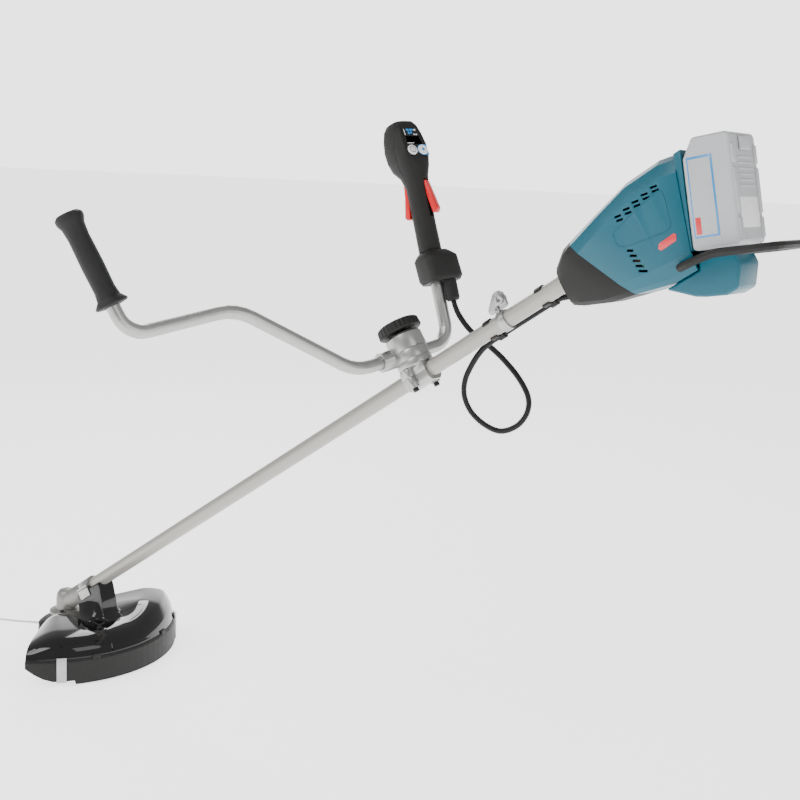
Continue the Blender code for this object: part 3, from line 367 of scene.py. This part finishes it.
def node_at(tree, kind, **inputs):
    item = tree.nodes.new(kind)
    for name, value in inputs.items():
        item.inputs[name.replace("_", " ")].default_value = value
    return item


def finish(name, colour, roughness, metallic=0.0, spread=0.08, grain=60.0, bump=0.05, fine=900.0,
           stretch=(1, 1, 1), coat=0.0, turn=(0, 0, 0), shine=0.5):
    """A Principled material with mottled colour, uneven gloss and a fine surface grain."""
    material = bpy.data.materials.new(name)
    material.use_nodes = True
    tree = material.node_tree
    shader = tree.nodes["Principled BSDF"]
    shader.inputs["Metallic"].default_value = metallic
    shader.inputs["Coat Weight"].default_value = coat
    shader.inputs["Specular IOR Level"].default_value = shine
    shader.inputs["Coat Roughness"].default_value = 0.05
    place = tree.nodes.new("ShaderNodeTexCoord")
    mapping = node_at(tree, "ShaderNodeMapping", Scale=stretch, Rotation=turn)
    tree.links.new(place.outputs["Object"], mapping.inputs["Vector"])
    cloud = node_at(tree, "ShaderNodeTexNoise", Scale=grain, Detail=4.0, Roughness=0.55)
    dust = node_at(tree, "ShaderNodeTexNoise", Scale=fine, Detail=2.0, Roughness=0.5)
    for noise in (cloud, dust):
        tree.links.new(mapping.outputs["Vector"], noise.inputs["Vector"])
    ramp = tree.nodes.new("ShaderNodeValToRGB")
    ramp.color_ramp.elements[0].position = 0.30
    ramp.color_ramp.elements[1].position = 0.70
    ramp.color_ramp.elements[0].color = (*[c * (1 - spread) for c in colour], 1)
    ramp.color_ramp.elements[1].color = (*[min(1, c * (1 + spread)) for c in colour], 1)
    tree.links.new(cloud.outputs["Fac"], ramp.inputs["Fac"])
    tree.links.new(ramp.outputs["Color"], shader.inputs["Base Color"])
    gloss = tree.nodes.new("ShaderNodeMapRange")
    gloss.inputs["To Min"].default_value = max(0.02, roughness * 0.82)
    gloss.inputs["To Max"].default_value = min(1.0, roughness * 1.18)
    tree.links.new(cloud.outputs["Fac"], gloss.inputs["Value"])
    tree.links.new(gloss.outputs["Result"], shader.inputs["Roughness"])
    relief = node_at(tree, "ShaderNodeBump", Strength=bump, Distance=0.0004)
    tree.links.new(dust.outputs["Fac"], relief.inputs["Height"])
    tree.links.new(relief.outputs["Normal"], shader.inputs["Normal"])
    FINISHES[name] = material
    return material


def make_finishes():
    tint = bpy.context.scene.cutter_colours
    pipe_turn = (0, PITCH, 0)
    finish("satin_pipe", tint.pipe, 0.36, 0.35, 0.03, 30, 0.05, 1400, (0.05, 1, 1), turn=pipe_turn)
    finish("cast_alloy", (0.26, 0.255, 0.24), 0.46, 0.60, 0.06, 90, 0.16, 1500)
    finish("polished_alloy", tint.alloy, 0.33, 0.90, 0.07, 70, 0.08, 1500)
    finish("steel", (0.36, 0.36, 0.37), 0.28, 1.0, 0.06, 80, 0.05, 1600)
    finish("dark_steel", (0.03, 0.03, 0.034), 0.38, 0.85, 0.15, 90, 0.06, 1500)
    finish("gloss_black", (0.0025, 0.0025, 0.003), 0.07, 0.0, 0.10, 12, 0.004, 300, coat=0.2, shine=0.45)
    finish("matte_black", (0.013, 0.0125, 0.012), 0.52, 0.0, 0.12, 60, 0.22, 2600, shine=0.22)
    finish("grip_rubber", (0.014, 0.014, 0.015), 0.55, 0.0, 0.15, 70, 0.30, 2300, shine=0.22)
    finish("cable_sleeve", (0.010, 0.010, 0.011), 0.46, 0.0, 0.15, 90, 0.10, 2000, shine=0.22)
    finish("teal", tint.teal, 0.36, 0.0, 0.035, 25, 0.10, 2600, shine=0.35)
    finish("red", tint.red, 0.34, 0.0, 0.04, 60, 0.06, 2200, shine=0.35)
    finish("white", (0.78, 0.78, 0.80), 0.34, 0.0, 0.02, 60, 0.03, 2000)
    finish("cyan", tint.accent, 0.25, 0.0, 0.06, 60, 0.02, 1500, coat=0.6)
    finish("pale_grey", tint.battery, 0.42, 0.0, 0.03, 40, 0.10, 2600, shine=0.35)
    finish("copper", (0.66, 0.29, 0.14), 0.34, 0.9, 0.10, 120, 0.15, 900)
    finish("board_green", (0.02, 0.14, 0.05), 0.45, 0.0, 0.20, 150, 0.08, 900)
    finish("nylon", (0.80, 0.82, 0.78), 0.42, 0.0, 0.05, 120, 0.08, 1500)
    finish("badge_red", (0.62, 0.02, 0.03), 0.30, 0.0, 0.03, 60, 0.02, 1500, coat=0.3)
    finish("print_dark", (0.02, 0.02, 0.022), 0.40, 0.0, 0.05, 60, 0.02, 1500)


class OBJECT_OT_cutter_finishes(bpy.types.Operator):
    """Make the materials and put them on the carried-over solids"""

    bl_idname = "object.cutter_finishes"
    bl_label = "Finishes"

    def execute(self, context):
        make_finishes()
        for name, item in frame["nodes"].items():
            item.data.materials.clear()
            item.data.materials.append(FINISHES[SLOT_OF[name]])
        return {"FINISHED"}


ROUNDED = {                     # node: (edge rounding, angle above which an edge is rounded)
    "pipe_clamp_upper": (0.0008, 35), "pipe_clamp_lower": (0.0008, 35), "handle_holder": (0.0008, 35),
    "handle_cap": (0.0010, 35), "hanger_band": (0.0005, 35), "hanger_lug": (0.0006, 30),
    "guard_clamp_cap": (0.0005, 35), "guard_clamp_plate": (0.0005, 30), "gear_case": (0.0010, 30),
    "cable_clip_front": (0.0006, 35), "cable_clip_rear": (0.0006, 35), "control_collar": (0.0012, 30),
    "trigger": (0.0016, 20), "lock_off_lever": (0.0016, 20), "lower_cover": (0.0016, 20),
    "control_front_shell": (0.0007, 38), "control_rear_shell": (0.0007, 38),
    "rear_plate": (0.0008, 30), "clamp_knob": (0.0005, 30),
    "battery_latch": (0.0006, 25), "line_cutter_left": (0.0004, 30), "line_cutter_right": (0.0004, 30),
    "left_grip": (0.0008, 30), "head_cover": (0.0008, 30), "bump_knob": (0.0016, 20),
    "power_button": (0.0003, 30), "mode_button": (0.0003, 30), "housing_front_cap": (0.0018, 24),
}


class OBJECT_OT_cutter_rounding(bpy.types.Operator):
    """Round the edges of castings and mouldings whose shape is already right"""

    bl_idname = "object.cutter_rounding"
    bl_label = "Rounded castings and mouldings"

    def execute(self, context):
        for node, (width, angle) in ROUNDED.items():
            rounded_copy(node, width, FINISHES[SLOT_OF[node]], angle)
        return {"FINISHED"}


class OBJECT_OT_cutter_cable(bpy.types.Operator):
    """The corrugated control cable from the grip's gland to the motor housing"""

    bl_idname = "object.cutter_cable"
    bl_label = "Control cable"

    def execute(self, context):
        sizes = context.scene.cutter_sizes
        points, length = smooth_path(CABLE_ROUTE, CABLE_SPACING / 2)
        points = [STANCE @ p for p in points]
        sides = 16
        loops = []
        across = Vector((0, 1, 0))
        for i, point in enumerate(points):
            along = (points[min(i + 1, len(points) - 1)] - points[max(i - 1, 0)]).normalized()
            across = (across - along * across.dot(along)).normalized()
            other = along.cross(across)
            radius = sizes.cable_radius - (sizes.cable_groove if i % 4 in (2, 3) else 0)
            loops.append([point + radius * (cos(2 * pi * k / sides) * across + sin(2 * pi * k / sides) * other)
                          for k in range(sides)])
        item = link(skin(loops), "control_cable_sleeve")
        smooth(item, 50)
        item.data.materials.append(FINISHES["cable_sleeve"])
        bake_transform(item)
        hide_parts("control_cable")
        return {"FINISHED"}


# ---------------------------------------------------------------- guard

def guard_height(angle, radius, z):
    """The guard's surface: down to the rim at its left end, swollen at its right end."""
    ease = 0.42 * max(0.0, (radians(-36) - angle) / radians(17)) ** 2
    around = min(1.0, max(0.0, angle / radians(32)))
    outwards = min(1.0, max(0.0, (radius - 0.115) / 0.070)) * min(1.0, max(0.0, (0.250 - radius) / 0.022))
    return z + (RIM_Z - z) * ease + 0.0130 * around * around * (3 - 2 * around) * outwards


def guard_point(angle, radius, z):
    return Vector((GUARD_BACK + radius * cos(angle), radius * sin(angle), z))


def on_guard(angle, radius, lift=0.0):
    """A point on the shield's top surface."""
    for (r0, z0), (r1, z1) in zip(GUARD_FINE, GUARD_FINE[1:]):
        if radius <= r1:
            z = z0 + (z1 - z0) * max(0.0, radius - r0) / (r1 - r0)
            return guard_point(angle, radius, guard_height(angle, radius, z) + lift)
    return guard_point(angle, radius, RIM_Z + lift)


GUARD_FINE = smooth_profile(GUARD_PROFILE, 7)
GUARD_STEPS = 96


def shield_mesh():
    """The thin shell alone, finely swept."""
    under = [(r - (0.0032 if r > 0.235 else 0.0), z - (0.0030 if r <= 0.235 else 0.0)) for r, z in GUARD_FINE]
    loops = []
    for i in range(GUARD_STEPS + 1):
        angle = GUARD_ENDS[0] + (GUARD_ENDS[1] - GUARD_ENDS[0]) * i / GUARD_STEPS
        top = [guard_point(angle, r, guard_height(angle, r, z)) for r, z in GUARD_FINE]
        low = [guard_point(angle, r, guard_height(angle, r, z)) for r, z in reversed(under)]
        low[0].z = RIM_Z
        loops.append(top + low)
    return skin(loops)


def neck_mesh():
    """The bracket that rises from the shield to the pipe, with flared sides."""
    along, down = Vector((cos(PITCH), 0, sin(PITCH))), Vector((sin(PITCH), 0, -cos(PITCH)))

    def at(h, d):
        point = h * along + d * down
        return point.x, point.z

    side = [at(0.071, 0.0003), at(0.108, 0.0003), at(0.109, 0.0060), at(0.140, 0.0060), at(0.141, 0.0120),
            at(0.1390, 0.0210), (0.1345, 0.0300), (0.1360, 0.0160), (0.1420, 0.0060), (0.1560, -0.0015),
            (0.0660, -0.0015), at(0.071, 0.0240)]
    flare = [(0.0520, 0.01), (0.0460, 0.03), (0.0400, 0.06), (0.0350, 0.11), (0.0300, 0.19), (0.0260, 0.29),
             (0.0225, 0.40), (0.0200, 0.50), (0.0196, 0.60), (0.0194, 0.80), (0.0190, 0.93), (0.0180, 1.0)]
    spans = [(-y, share) for y, share in flare] + [(y, share) for y, share in reversed(flare)]
    return skin([[(0.118 + (x - 0.118) * (0.55 + 0.45 * min(1.0, 2 * share)), y, -0.0015 + (z + 0.0015) * share)
                  for x, z in side] for y, share in spans])


def ribbon(route, half_width, thickness):
    """A low rib along a route on the shield."""
    loops = []
    for i, point in enumerate(route):
        along = (route[min(i + 1, len(route) - 1)] - route[max(i - 1, 0)]).normalized()
        up = Vector((0, 0, 1))
        up = (up - along * up.dot(along)).normalized()
        side = along.cross(up)
        loops.append([point + side * half_width - up * 0.0006, point + side * half_width * 0.6 + up * thickness,
                      point - side * half_width * 0.6 + up * thickness, point - side * half_width - up * 0.0006])
    return skin(loops)


def dress_plain(mesh, name, finish_name, body, slot, *nodes, bevel=0.0, angle=30, smooth_angle=34, place=None):
    """Link a mesh as a finished piece, placed and rounded."""
    item = link(moved(mesh, place) if place else mesh, name)
    if bevel:
        add_bevel(item, bevel, 2, angle)
        settled(item)
    smooth(item, smooth_angle)
    return dressed(item, FINISHES[finish_name], body, slot, *nodes)


class OBJECT_OT_cutter_guard(bpy.types.Operator):
    """The glossy shield with its bracket and ribs, and tabs on the matte skirt"""

    bl_idname = "object.cutter_guard"
    bl_label = "Guard"

    def execute(self, context):
        sizes = context.scene.cutter_sizes
        dress_plain(shield_mesh(), "shield_shell", "gloss_black", "frame", "gloss_black", "guard_shield",
                    bevel=0.0008, angle=50, smooth_angle=40, place=HEAD)
        neck = link(moved(neck_mesh(), HEAD), "shield_bracket")
        start, end = (HEAD @ Vector((cos(PITCH) * s, 0, sin(PITCH) * s)) for s in (0.05, 0.18))
        channel = lathe([(0.0143, 0.0), (0.0143, (end - start).length)], 48)
        turn = (end - start).to_track_quat("Z", "Y").to_matrix().to_4x4()
        cut_away(neck, [moved(channel, Matrix.Translation(start) @ turn)])
        add_bevel(neck, 0.0016, 3, 35)
        settled(neck)
        smooth(neck, 48)
        dressed(neck, FINISHES["gloss_black"], "frame", "gloss_black")
        line = [on_guard(radians(-14 + 1.5 * (r - 0.13) / 0.12), r) for r in
                [0.128 + 0.0045 * i for i in range(28)]]
        panel = [on_guard(radians(a), r) for a, r in
                 [(6, 0.170), (14, 0.178), (21, 0.188), (23, 0.196), (21, 0.204), (14, 0.210), (5, 0.212)]]
        panel, _length = smooth_path(panel, 0.004)
        for name, route, half in (("rib", line, 0.0032), ("panel_edge", panel, 0.0010)):
            dress_plain(ribbon(route, half, 0.0018 if half > 0.002 else 0.0005), "shield_" + name,
                        "gloss_black", "frame", "gloss_black", smooth_angle=60, place=HEAD)
        for name, angle in (("left", -21), ("right", 21), ("far_right", 44)):
            place = HEAD @ Matrix.Translation((GUARD_BACK, 0, 0)) @ Matrix.Rotation(radians(angle), 4, "Z")
            tab = box((0.2462, 0.2530), (-0.0085, 0.0085), (-0.0480, -0.0372))
            dress_plain(tab, "skirt_tab_" + name, "matte_black", "frame", "matte_black", bevel=sizes.edge,
                        place=place)
        return {"FINISHED"}


# ---------------------------------------------------------------- control face

def flat_shape(outline, thickness):
    """A thin plate on the control's face from an outline in the face's plane."""
    return skin([[(x, y, z) for x, y in outline] for z in (0.0, thickness)])


def disc(x, y, radius, sides=48):
    return [(x + radius * cos(2 * pi * i / sides), y + radius * sin(2 * pi * i / sides)) for i in range(sides)]


def slab(x0, x1, y0, y1):
    return [(x0, y0), (x1, y0), (x1, y1), (x0, y1)]


def round_slab(x0, x1, y0, y1, r, steps=6):
    points = []
    for cx, cy, start in ((x1 - r, y1 - r, 0), (x0 + r, y1 - r, 90),
                          (x0 + r, y0 + r, 180), (x1 - r, y0 + r, 270)):
        points += [(cx + r * cos(radians(start + 90 * i / steps)), cy + r * sin(radians(start + 90 * i / steps)))
                   for i in range(steps + 1)]
    return points


class OBJECT_OT_cutter_face(bpy.types.Operator):
    """The control grip's face: gloss panel, display marks and the two buttons' rings"""

    bl_idname = "object.cutter_face"
    bl_label = "Control face"

    def execute(self, context):
        face, glass = -0.0011, -0.0007
        holes = [lathe([(0.0099, -0.01), (0.0099, 0.01)], 40) for _spot in BUTTON_SPOTS]
        for hole, (x, y) in zip(holes, BUTTON_SPOTS):
            moved(hole, FACE @ Matrix.Translation((x, y, 0)))
        panel = link(moved(flat_shape(round_slab(-0.0212, 0.0218, -0.0042, 0.0185, 0.005), 0.0005),
                           FACE @ Matrix.Translation((0, 0, face))), "face_panel")
        cut_away(panel, holes)
        dressed(smooth(panel), FINISHES["gloss_black"], "handle", "gloss_black")
        dress_plain(flat_shape(round_slab(-0.0174, 0.0174, 0.0349, 0.0511, 0.001), 0.0006), "display_glass",
                    "gloss_black", "handle", "cyan", "display_window", place=FACE @ Matrix.Translation((0, 0, -0.0013)))
        marks = [("cyan", slab(-0.0085, -0.0030, 0.0455, 0.0495)),
                 ("cyan", slab(-0.0018, 0.0060, 0.0455, 0.0495)),
                 ("cyan", slab(-0.0065, -0.0030, 0.0385, 0.0440)),
                 ("cyan", slab(-0.0018, 0.0020, 0.0400, 0.0440)),
                 ("white", slab(-0.0140, -0.0128, 0.0370, 0.0490)),
                 ("white", slab(0.0075, 0.0110, 0.0460, 0.0490)),
                 ("white", slab(0.0040, 0.0062, 0.0370, 0.0392)),
                 ("white", slab(0.0078, 0.0115, 0.0370, 0.0392))]
        for i, (look, outline) in enumerate(marks):
            dress_plain(flat_shape(outline, 0.0002), f"display_mark_{i}", look, "handle", look, smooth_angle=30,
                        place=FACE @ Matrix.Translation((0, 0, glass)))
        dress_plain(flat_shape(slab(-0.0150, -0.0010, 0.0205, 0.0217), 0.0002), "face_strip", "white", "handle",
                    "white", place=FACE @ Matrix.Translation((0, 0, face)))
        x, y = BUTTON_SPOTS[1]
        surround = disc(x, y, 0.0106)[12:37] + [(x, y - 0.0106), (x + 0.0100, y - 0.0106),
                                                (x + 0.0100, y + 0.0106)]
        surround = moved(flat_shape(surround, 0.0007), FACE @ Matrix.Translation((0, 0, face)))
        surround = link(surround, "mode_surround")
        hole = moved(lathe([(0.0098, -0.01), (0.0098, 0.01)], 40), FACE @ Matrix.Translation((x, y, 0)))
        cut_away(surround, [hole])
        dressed(smooth(surround), FINISHES["cyan"], "handle", "cyan")
        ring = lathe([(0.0050, 0.0014), (0.0062, 0.0014), (0.0062, 0.0016), (0.0050, 0.0016)], 40, ring=True)
        dress_plain(ring, "power_ring", "print_dark", "power_body", "gloss_black",
                    place=FACE @ Matrix.Translation((*BUTTON_SPOTS[0], 0)))
        bar = lathe([(0.0012, 0.0014), (0.0012, 0.0016)], 24)
        dress_plain(bar, "power_dot", "print_dark", "power_body", "gloss_black",
                    place=FACE @ Matrix.Translation((*BUTTON_SPOTS[0], 0)))
        leaf = flat_shape(disc(0, 0, 0.0030, 24), 0.0002)
        dress_plain(leaf, "mode_mark", "cyan", "mode_body", "cyan",
                    place=FACE @ Matrix.Translation((*BUTTON_SPOTS[1], 0.0014)))
        return {"FINISHED"}


# ---------------------------------------------------------------- battery

class OBJECT_OT_cutter_battery(bpy.types.Operator):
    """The pack's rounded case with ribs, edge rails and blank labels"""

    bl_idname = "object.cutter_battery"
    bl_label = "Battery"

    def execute(self, context):
        sizes = context.scene.cutter_sizes
        rounded_copy("battery_case", 0.0035, FINISHES["pale_grey"], 20, 3)
        half = 0.0480
        rib = link(moved(box((0.5880, 0.5912), (-0.0250, 0.0250), (0.2120, 0.2150)), BATTERY), "battery_ribs")
        add_bevel(rib, 0.0008)
        settled(rib)
        repeated(rib, sizes.battery_ribs, BATTERY.to_3x3() @ Vector((0, 0, 0.0078)), FINISHES["pale_grey"])
        dressed(smooth(rib), FINISHES["pale_grey"], "battery_body", "pale_grey")
        parts = []
        for side in (-1, 1):
            inner, outer = sorted((side * (half - 0.0130), side * (half - 0.0030)))
            for low, high in ((0.1420, 0.1700), (0.1760, 0.2380), (0.2440, 0.2700)):
                parts.append(("rail", box((0.5870, 0.5922), (inner, outer), (low, high)), "pale_grey"))
            inner, outer = sorted((side * (half - 0.0010), side * (half + 0.0008)))
            parts.append(("label_border", box((0.5265, 0.5630), (inner, outer), (0.1500, 0.2610)), "cyan"))
            inner, outer = sorted((side * (half - 0.0010), side * (half + 0.0011)))
            parts.append(("label", box((0.5285, 0.5605), (inner, outer), (0.1525, 0.2580)), "pale_grey"))
            across = (inner, outer) if side > 0 else (inner - 0.0002, outer)
            parts.append(("flash", box((0.5300, 0.5380), across, (0.1545, 0.1780)), "badge_red"))
        parts.append(("rating_label", box((0.5890, 0.5905), (-0.0330, 0.0330), (0.1560, 0.1980)), "white"))
        for i, (name, mesh, look) in enumerate(parts):
            slot = "red" if look == "badge_red" else look
            thin = name in ("label", "label_border", "rating_label", "flash")
            dress_plain(mesh, f"battery_{name}_{i}", look, "battery_body", slot,
                        bevel=0.0001 if thin else 0.0008, place=BATTERY)
        return {"FINISHED"}


# ---------------------------------------------------------------- housing

class OBJECT_OT_cutter_housing(bpy.types.Operator):
    """The motor housing's shells with rounded edges, side panels and a plain badge"""

    bl_idname = "object.cutter_housing"
    bl_label = "Motor housing"

    def execute(self, context):
        for node in ("housing_left_shell", "housing_right_shell"):
            rounded_copy(node, 0.0030, FINISHES["teal"], 14, 4, 24)
        for side in (-1, 1):
            ring = [STANCE @ Vector((x, side * housing_half(x, z), z)) for x, z in PANEL]
            ring.append(ring[0])
            path, _length = smooth_path(ring, 0.004)
            bead = ribbon_around(path, STANCE.to_3x3() @ Vector((0, side, 0)), 0.0011, 0.0007)
            dress_plain(bead, f"panel_bead_{side}", "teal", "frame", "teal", smooth_angle=60)
            x, z = BADGE
            badge = [(-0.0165, -0.0015), (-0.0120, 0.0045), (0.0140, 0.0060), (0.0165, 0.0030),
                     (0.0125, -0.0050), (-0.0135, -0.0060)]
            half = housing_half(x, z)
            low, high = sorted((side * (half - 0.0006), side * (half + 0.0006)))
            mesh = prism([(x + a, z + b) for a, b in badge], (low, high))
            dress_plain(mesh, f"badge_{side}", "badge_red", "frame", "red", bevel=0.0003, place=STANCE)
        return {"FINISHED"}


def housing_half(x, z):
    """The housing's half width where its side is widest."""
    rows = [(start + shear * z, half) for start, half, shear in HALF_WIDTHS]
    for (x0, w0), (x1, w1) in zip(rows, rows[1:]):
        if x <= x1:
            return w0 + (w1 - w0) * max(0.0, x - x0) / (x1 - x0)
    return rows[-1][1]


def ribbon_around(path, outwards, half_width, height):
    """A raised bead along a closed path on a nearly flat side."""
    loops = []
    count = len(path) - 1
    for i in range(count):
        along = (path[(i + 1) % count] - path[(i - 1) % count]).normalized()
        side = along.cross(outwards).normalized()
        loops.append([path[i] + side * half_width - outwards * 0.0006,
                      path[i] + side * half_width * 0.5 + outwards * height,
                      path[i] - side * half_width * 0.5 + outwards * height,
                      path[i] - side * half_width - outwards * 0.0006])
    return skin(loops, ring=True)


# ---------------------------------------------------------------- stage

CAMERA_PLACE = (1.1962, -1.7294, 0.3457)
CAMERA_AXES = ((0.80764, 0.58787, 0.0461), (-0.14401, 0.12083, 0.98217), (0.57182, -0.79988, 0.18225))


def area_light(name, place, target, size, power, size_y=None):
    light = bpy.data.lights.new(name, "AREA")
    light.shape = "RECTANGLE"
    light.size = size
    light.size_y = size_y or size
    light.energy = power
    item = bpy.data.objects.new(name, light)
    item.location = CLAMP + Vector(place)
    item.rotation_euler = (Vector(target) - Vector(place)).to_track_quat("-Z", "Y").to_euler()
    bpy.context.scene.collection.objects.link(item)


class OBJECT_OT_cutter_stage(bpy.types.Operator):
    """Floor, soft lights and camera"""

    bl_idname = "object.cutter_stage"
    bl_label = "Stage"

    def execute(self, context):
        settings = context.scene.cutter_stage
        low = CAD_BOX[0][2] - 0.001
        floor = link(skin([circle(60, low - 0.02, 64), circle(60, low, 64)]), "studio_floor")
        material = finish("floor_paper", settings.floor, 0.9, 0, 0.01, 0.5, 0.01, 200)
        shader = material.node_tree.nodes["Principled BSDF"]
        shader.inputs["Emission Color"].default_value = (1, 1, 1, 1)
        shader.inputs["Emission Strength"].default_value = settings.glow
        floor.data.materials.append(material)
        world = bpy.data.worlds.new("studio_air")
        world.use_nodes = True
        world.node_tree.nodes["Background"].inputs["Color"].default_value = (1, 1, 1, 1)
        tree = world.node_tree
        place = tree.nodes.new("ShaderNodeTexCoord")
        facing = tree.nodes.new("ShaderNodeVectorMath")
        facing.operation = "DOT_PRODUCT"
        facing.inputs[1].default_value = [-axis for axis in CAMERA_AXES[2]]
        tree.links.new(place.outputs["Generated"], facing.inputs[0])
        sky = tree.nodes.new("ShaderNodeMapRange")
        sky.inputs["From Min"].default_value = 0.72
        sky.inputs["From Max"].default_value = 0.88
        sky.inputs["To Min"].default_value = settings.surround
        sky.inputs["To Max"].default_value = settings.backdrop
        tree.links.new(facing.outputs["Value"], sky.inputs["Value"])
        tree.links.new(sky.outputs["Result"], tree.nodes["Background"].inputs["Strength"])
        context.scene.world = world
        middle = (-0.2, 0.0, -0.2)
        area_light("key_softbox", (-0.6, -2.6, 2.4), middle, 1.8, 60)
        area_light("fill_softbox", (2.6, -0.6, 1.2), middle, 1.6, 18)
        area_light("rim_strip", (-2.2, 1.6, 1.8), middle, 0.5, 30, 2.2)
        area_light("head_strip", (-1.6, -1.4, 0.9), (-0.8, 0, -0.65), 0.25, 9, 1.2)
        right, up, back = (Vector(axis) for axis in CAMERA_AXES)
        camera = bpy.data.objects.new("studio_camera", bpy.data.cameras.new("studio_camera"))
        camera.data.lens = settings.lens
        camera.data.sensor_width = 36
        camera.data.clip_start = 0.01
        turn = Matrix((right, up, back)).transposed().to_4x4()
        camera.matrix_world = Matrix.Translation(CLAMP + Vector(CAMERA_PLACE)) @ turn
        context.scene.collection.objects.link(camera)
        context.scene.camera = camera
        return {"FINISHED"}


OPERATORS = (OBJECT_OT_cutter_finishes, OBJECT_OT_cutter_rounding, OBJECT_OT_cutter_cable,
             OBJECT_OT_cutter_guard, OBJECT_OT_cutter_face, OBJECT_OT_cutter_battery,
             OBJECT_OT_cutter_housing, OBJECT_OT_cutter_stage)


class VIEW3D_PT_cutter(bpy.types.Panel):
    """Brush cutter pieces"""

    bl_label = "Brush Cutter"
    bl_idname = "VIEW3D_PT_cutter"
    bl_space_type = "VIEW_3D"
    bl_region_type = "UI"
    bl_category = "Brush Cutter"

    def draw(self, context):
        for operator in OPERATORS:
            self.layout.operator(operator.bl_idname)
        for group in (context.scene.cutter_colours, context.scene.cutter_sizes, context.scene.cutter_stage):
            for name in group.__annotations__:
                self.layout.prop(group, name)


CLASSES = (CutterColours, CutterSizes, StageSettings, *OPERATORS, VIEW3D_PT_cutter)


def register():
    for item in CLASSES:
        bpy.utils.register_class(item)
    bpy.types.Scene.cutter_colours = PointerProperty(type=CutterColours)
    bpy.types.Scene.cutter_sizes = PointerProperty(type=CutterSizes)
    bpy.types.Scene.cutter_stage = PointerProperty(type=StageSettings)


def unregister():
    del bpy.types.Scene.cutter_stage
    del bpy.types.Scene.cutter_sizes
    del bpy.types.Scene.cutter_colours
    for item in reversed(CLASSES):
        bpy.utils.unregister_class(item)


def main():
    register()
    for operator in OPERATORS:
        group, name = operator.bl_idname.split(".")
        getattr(getattr(bpy.ops, group), name)()


if __name__ == "__main__":
    main()
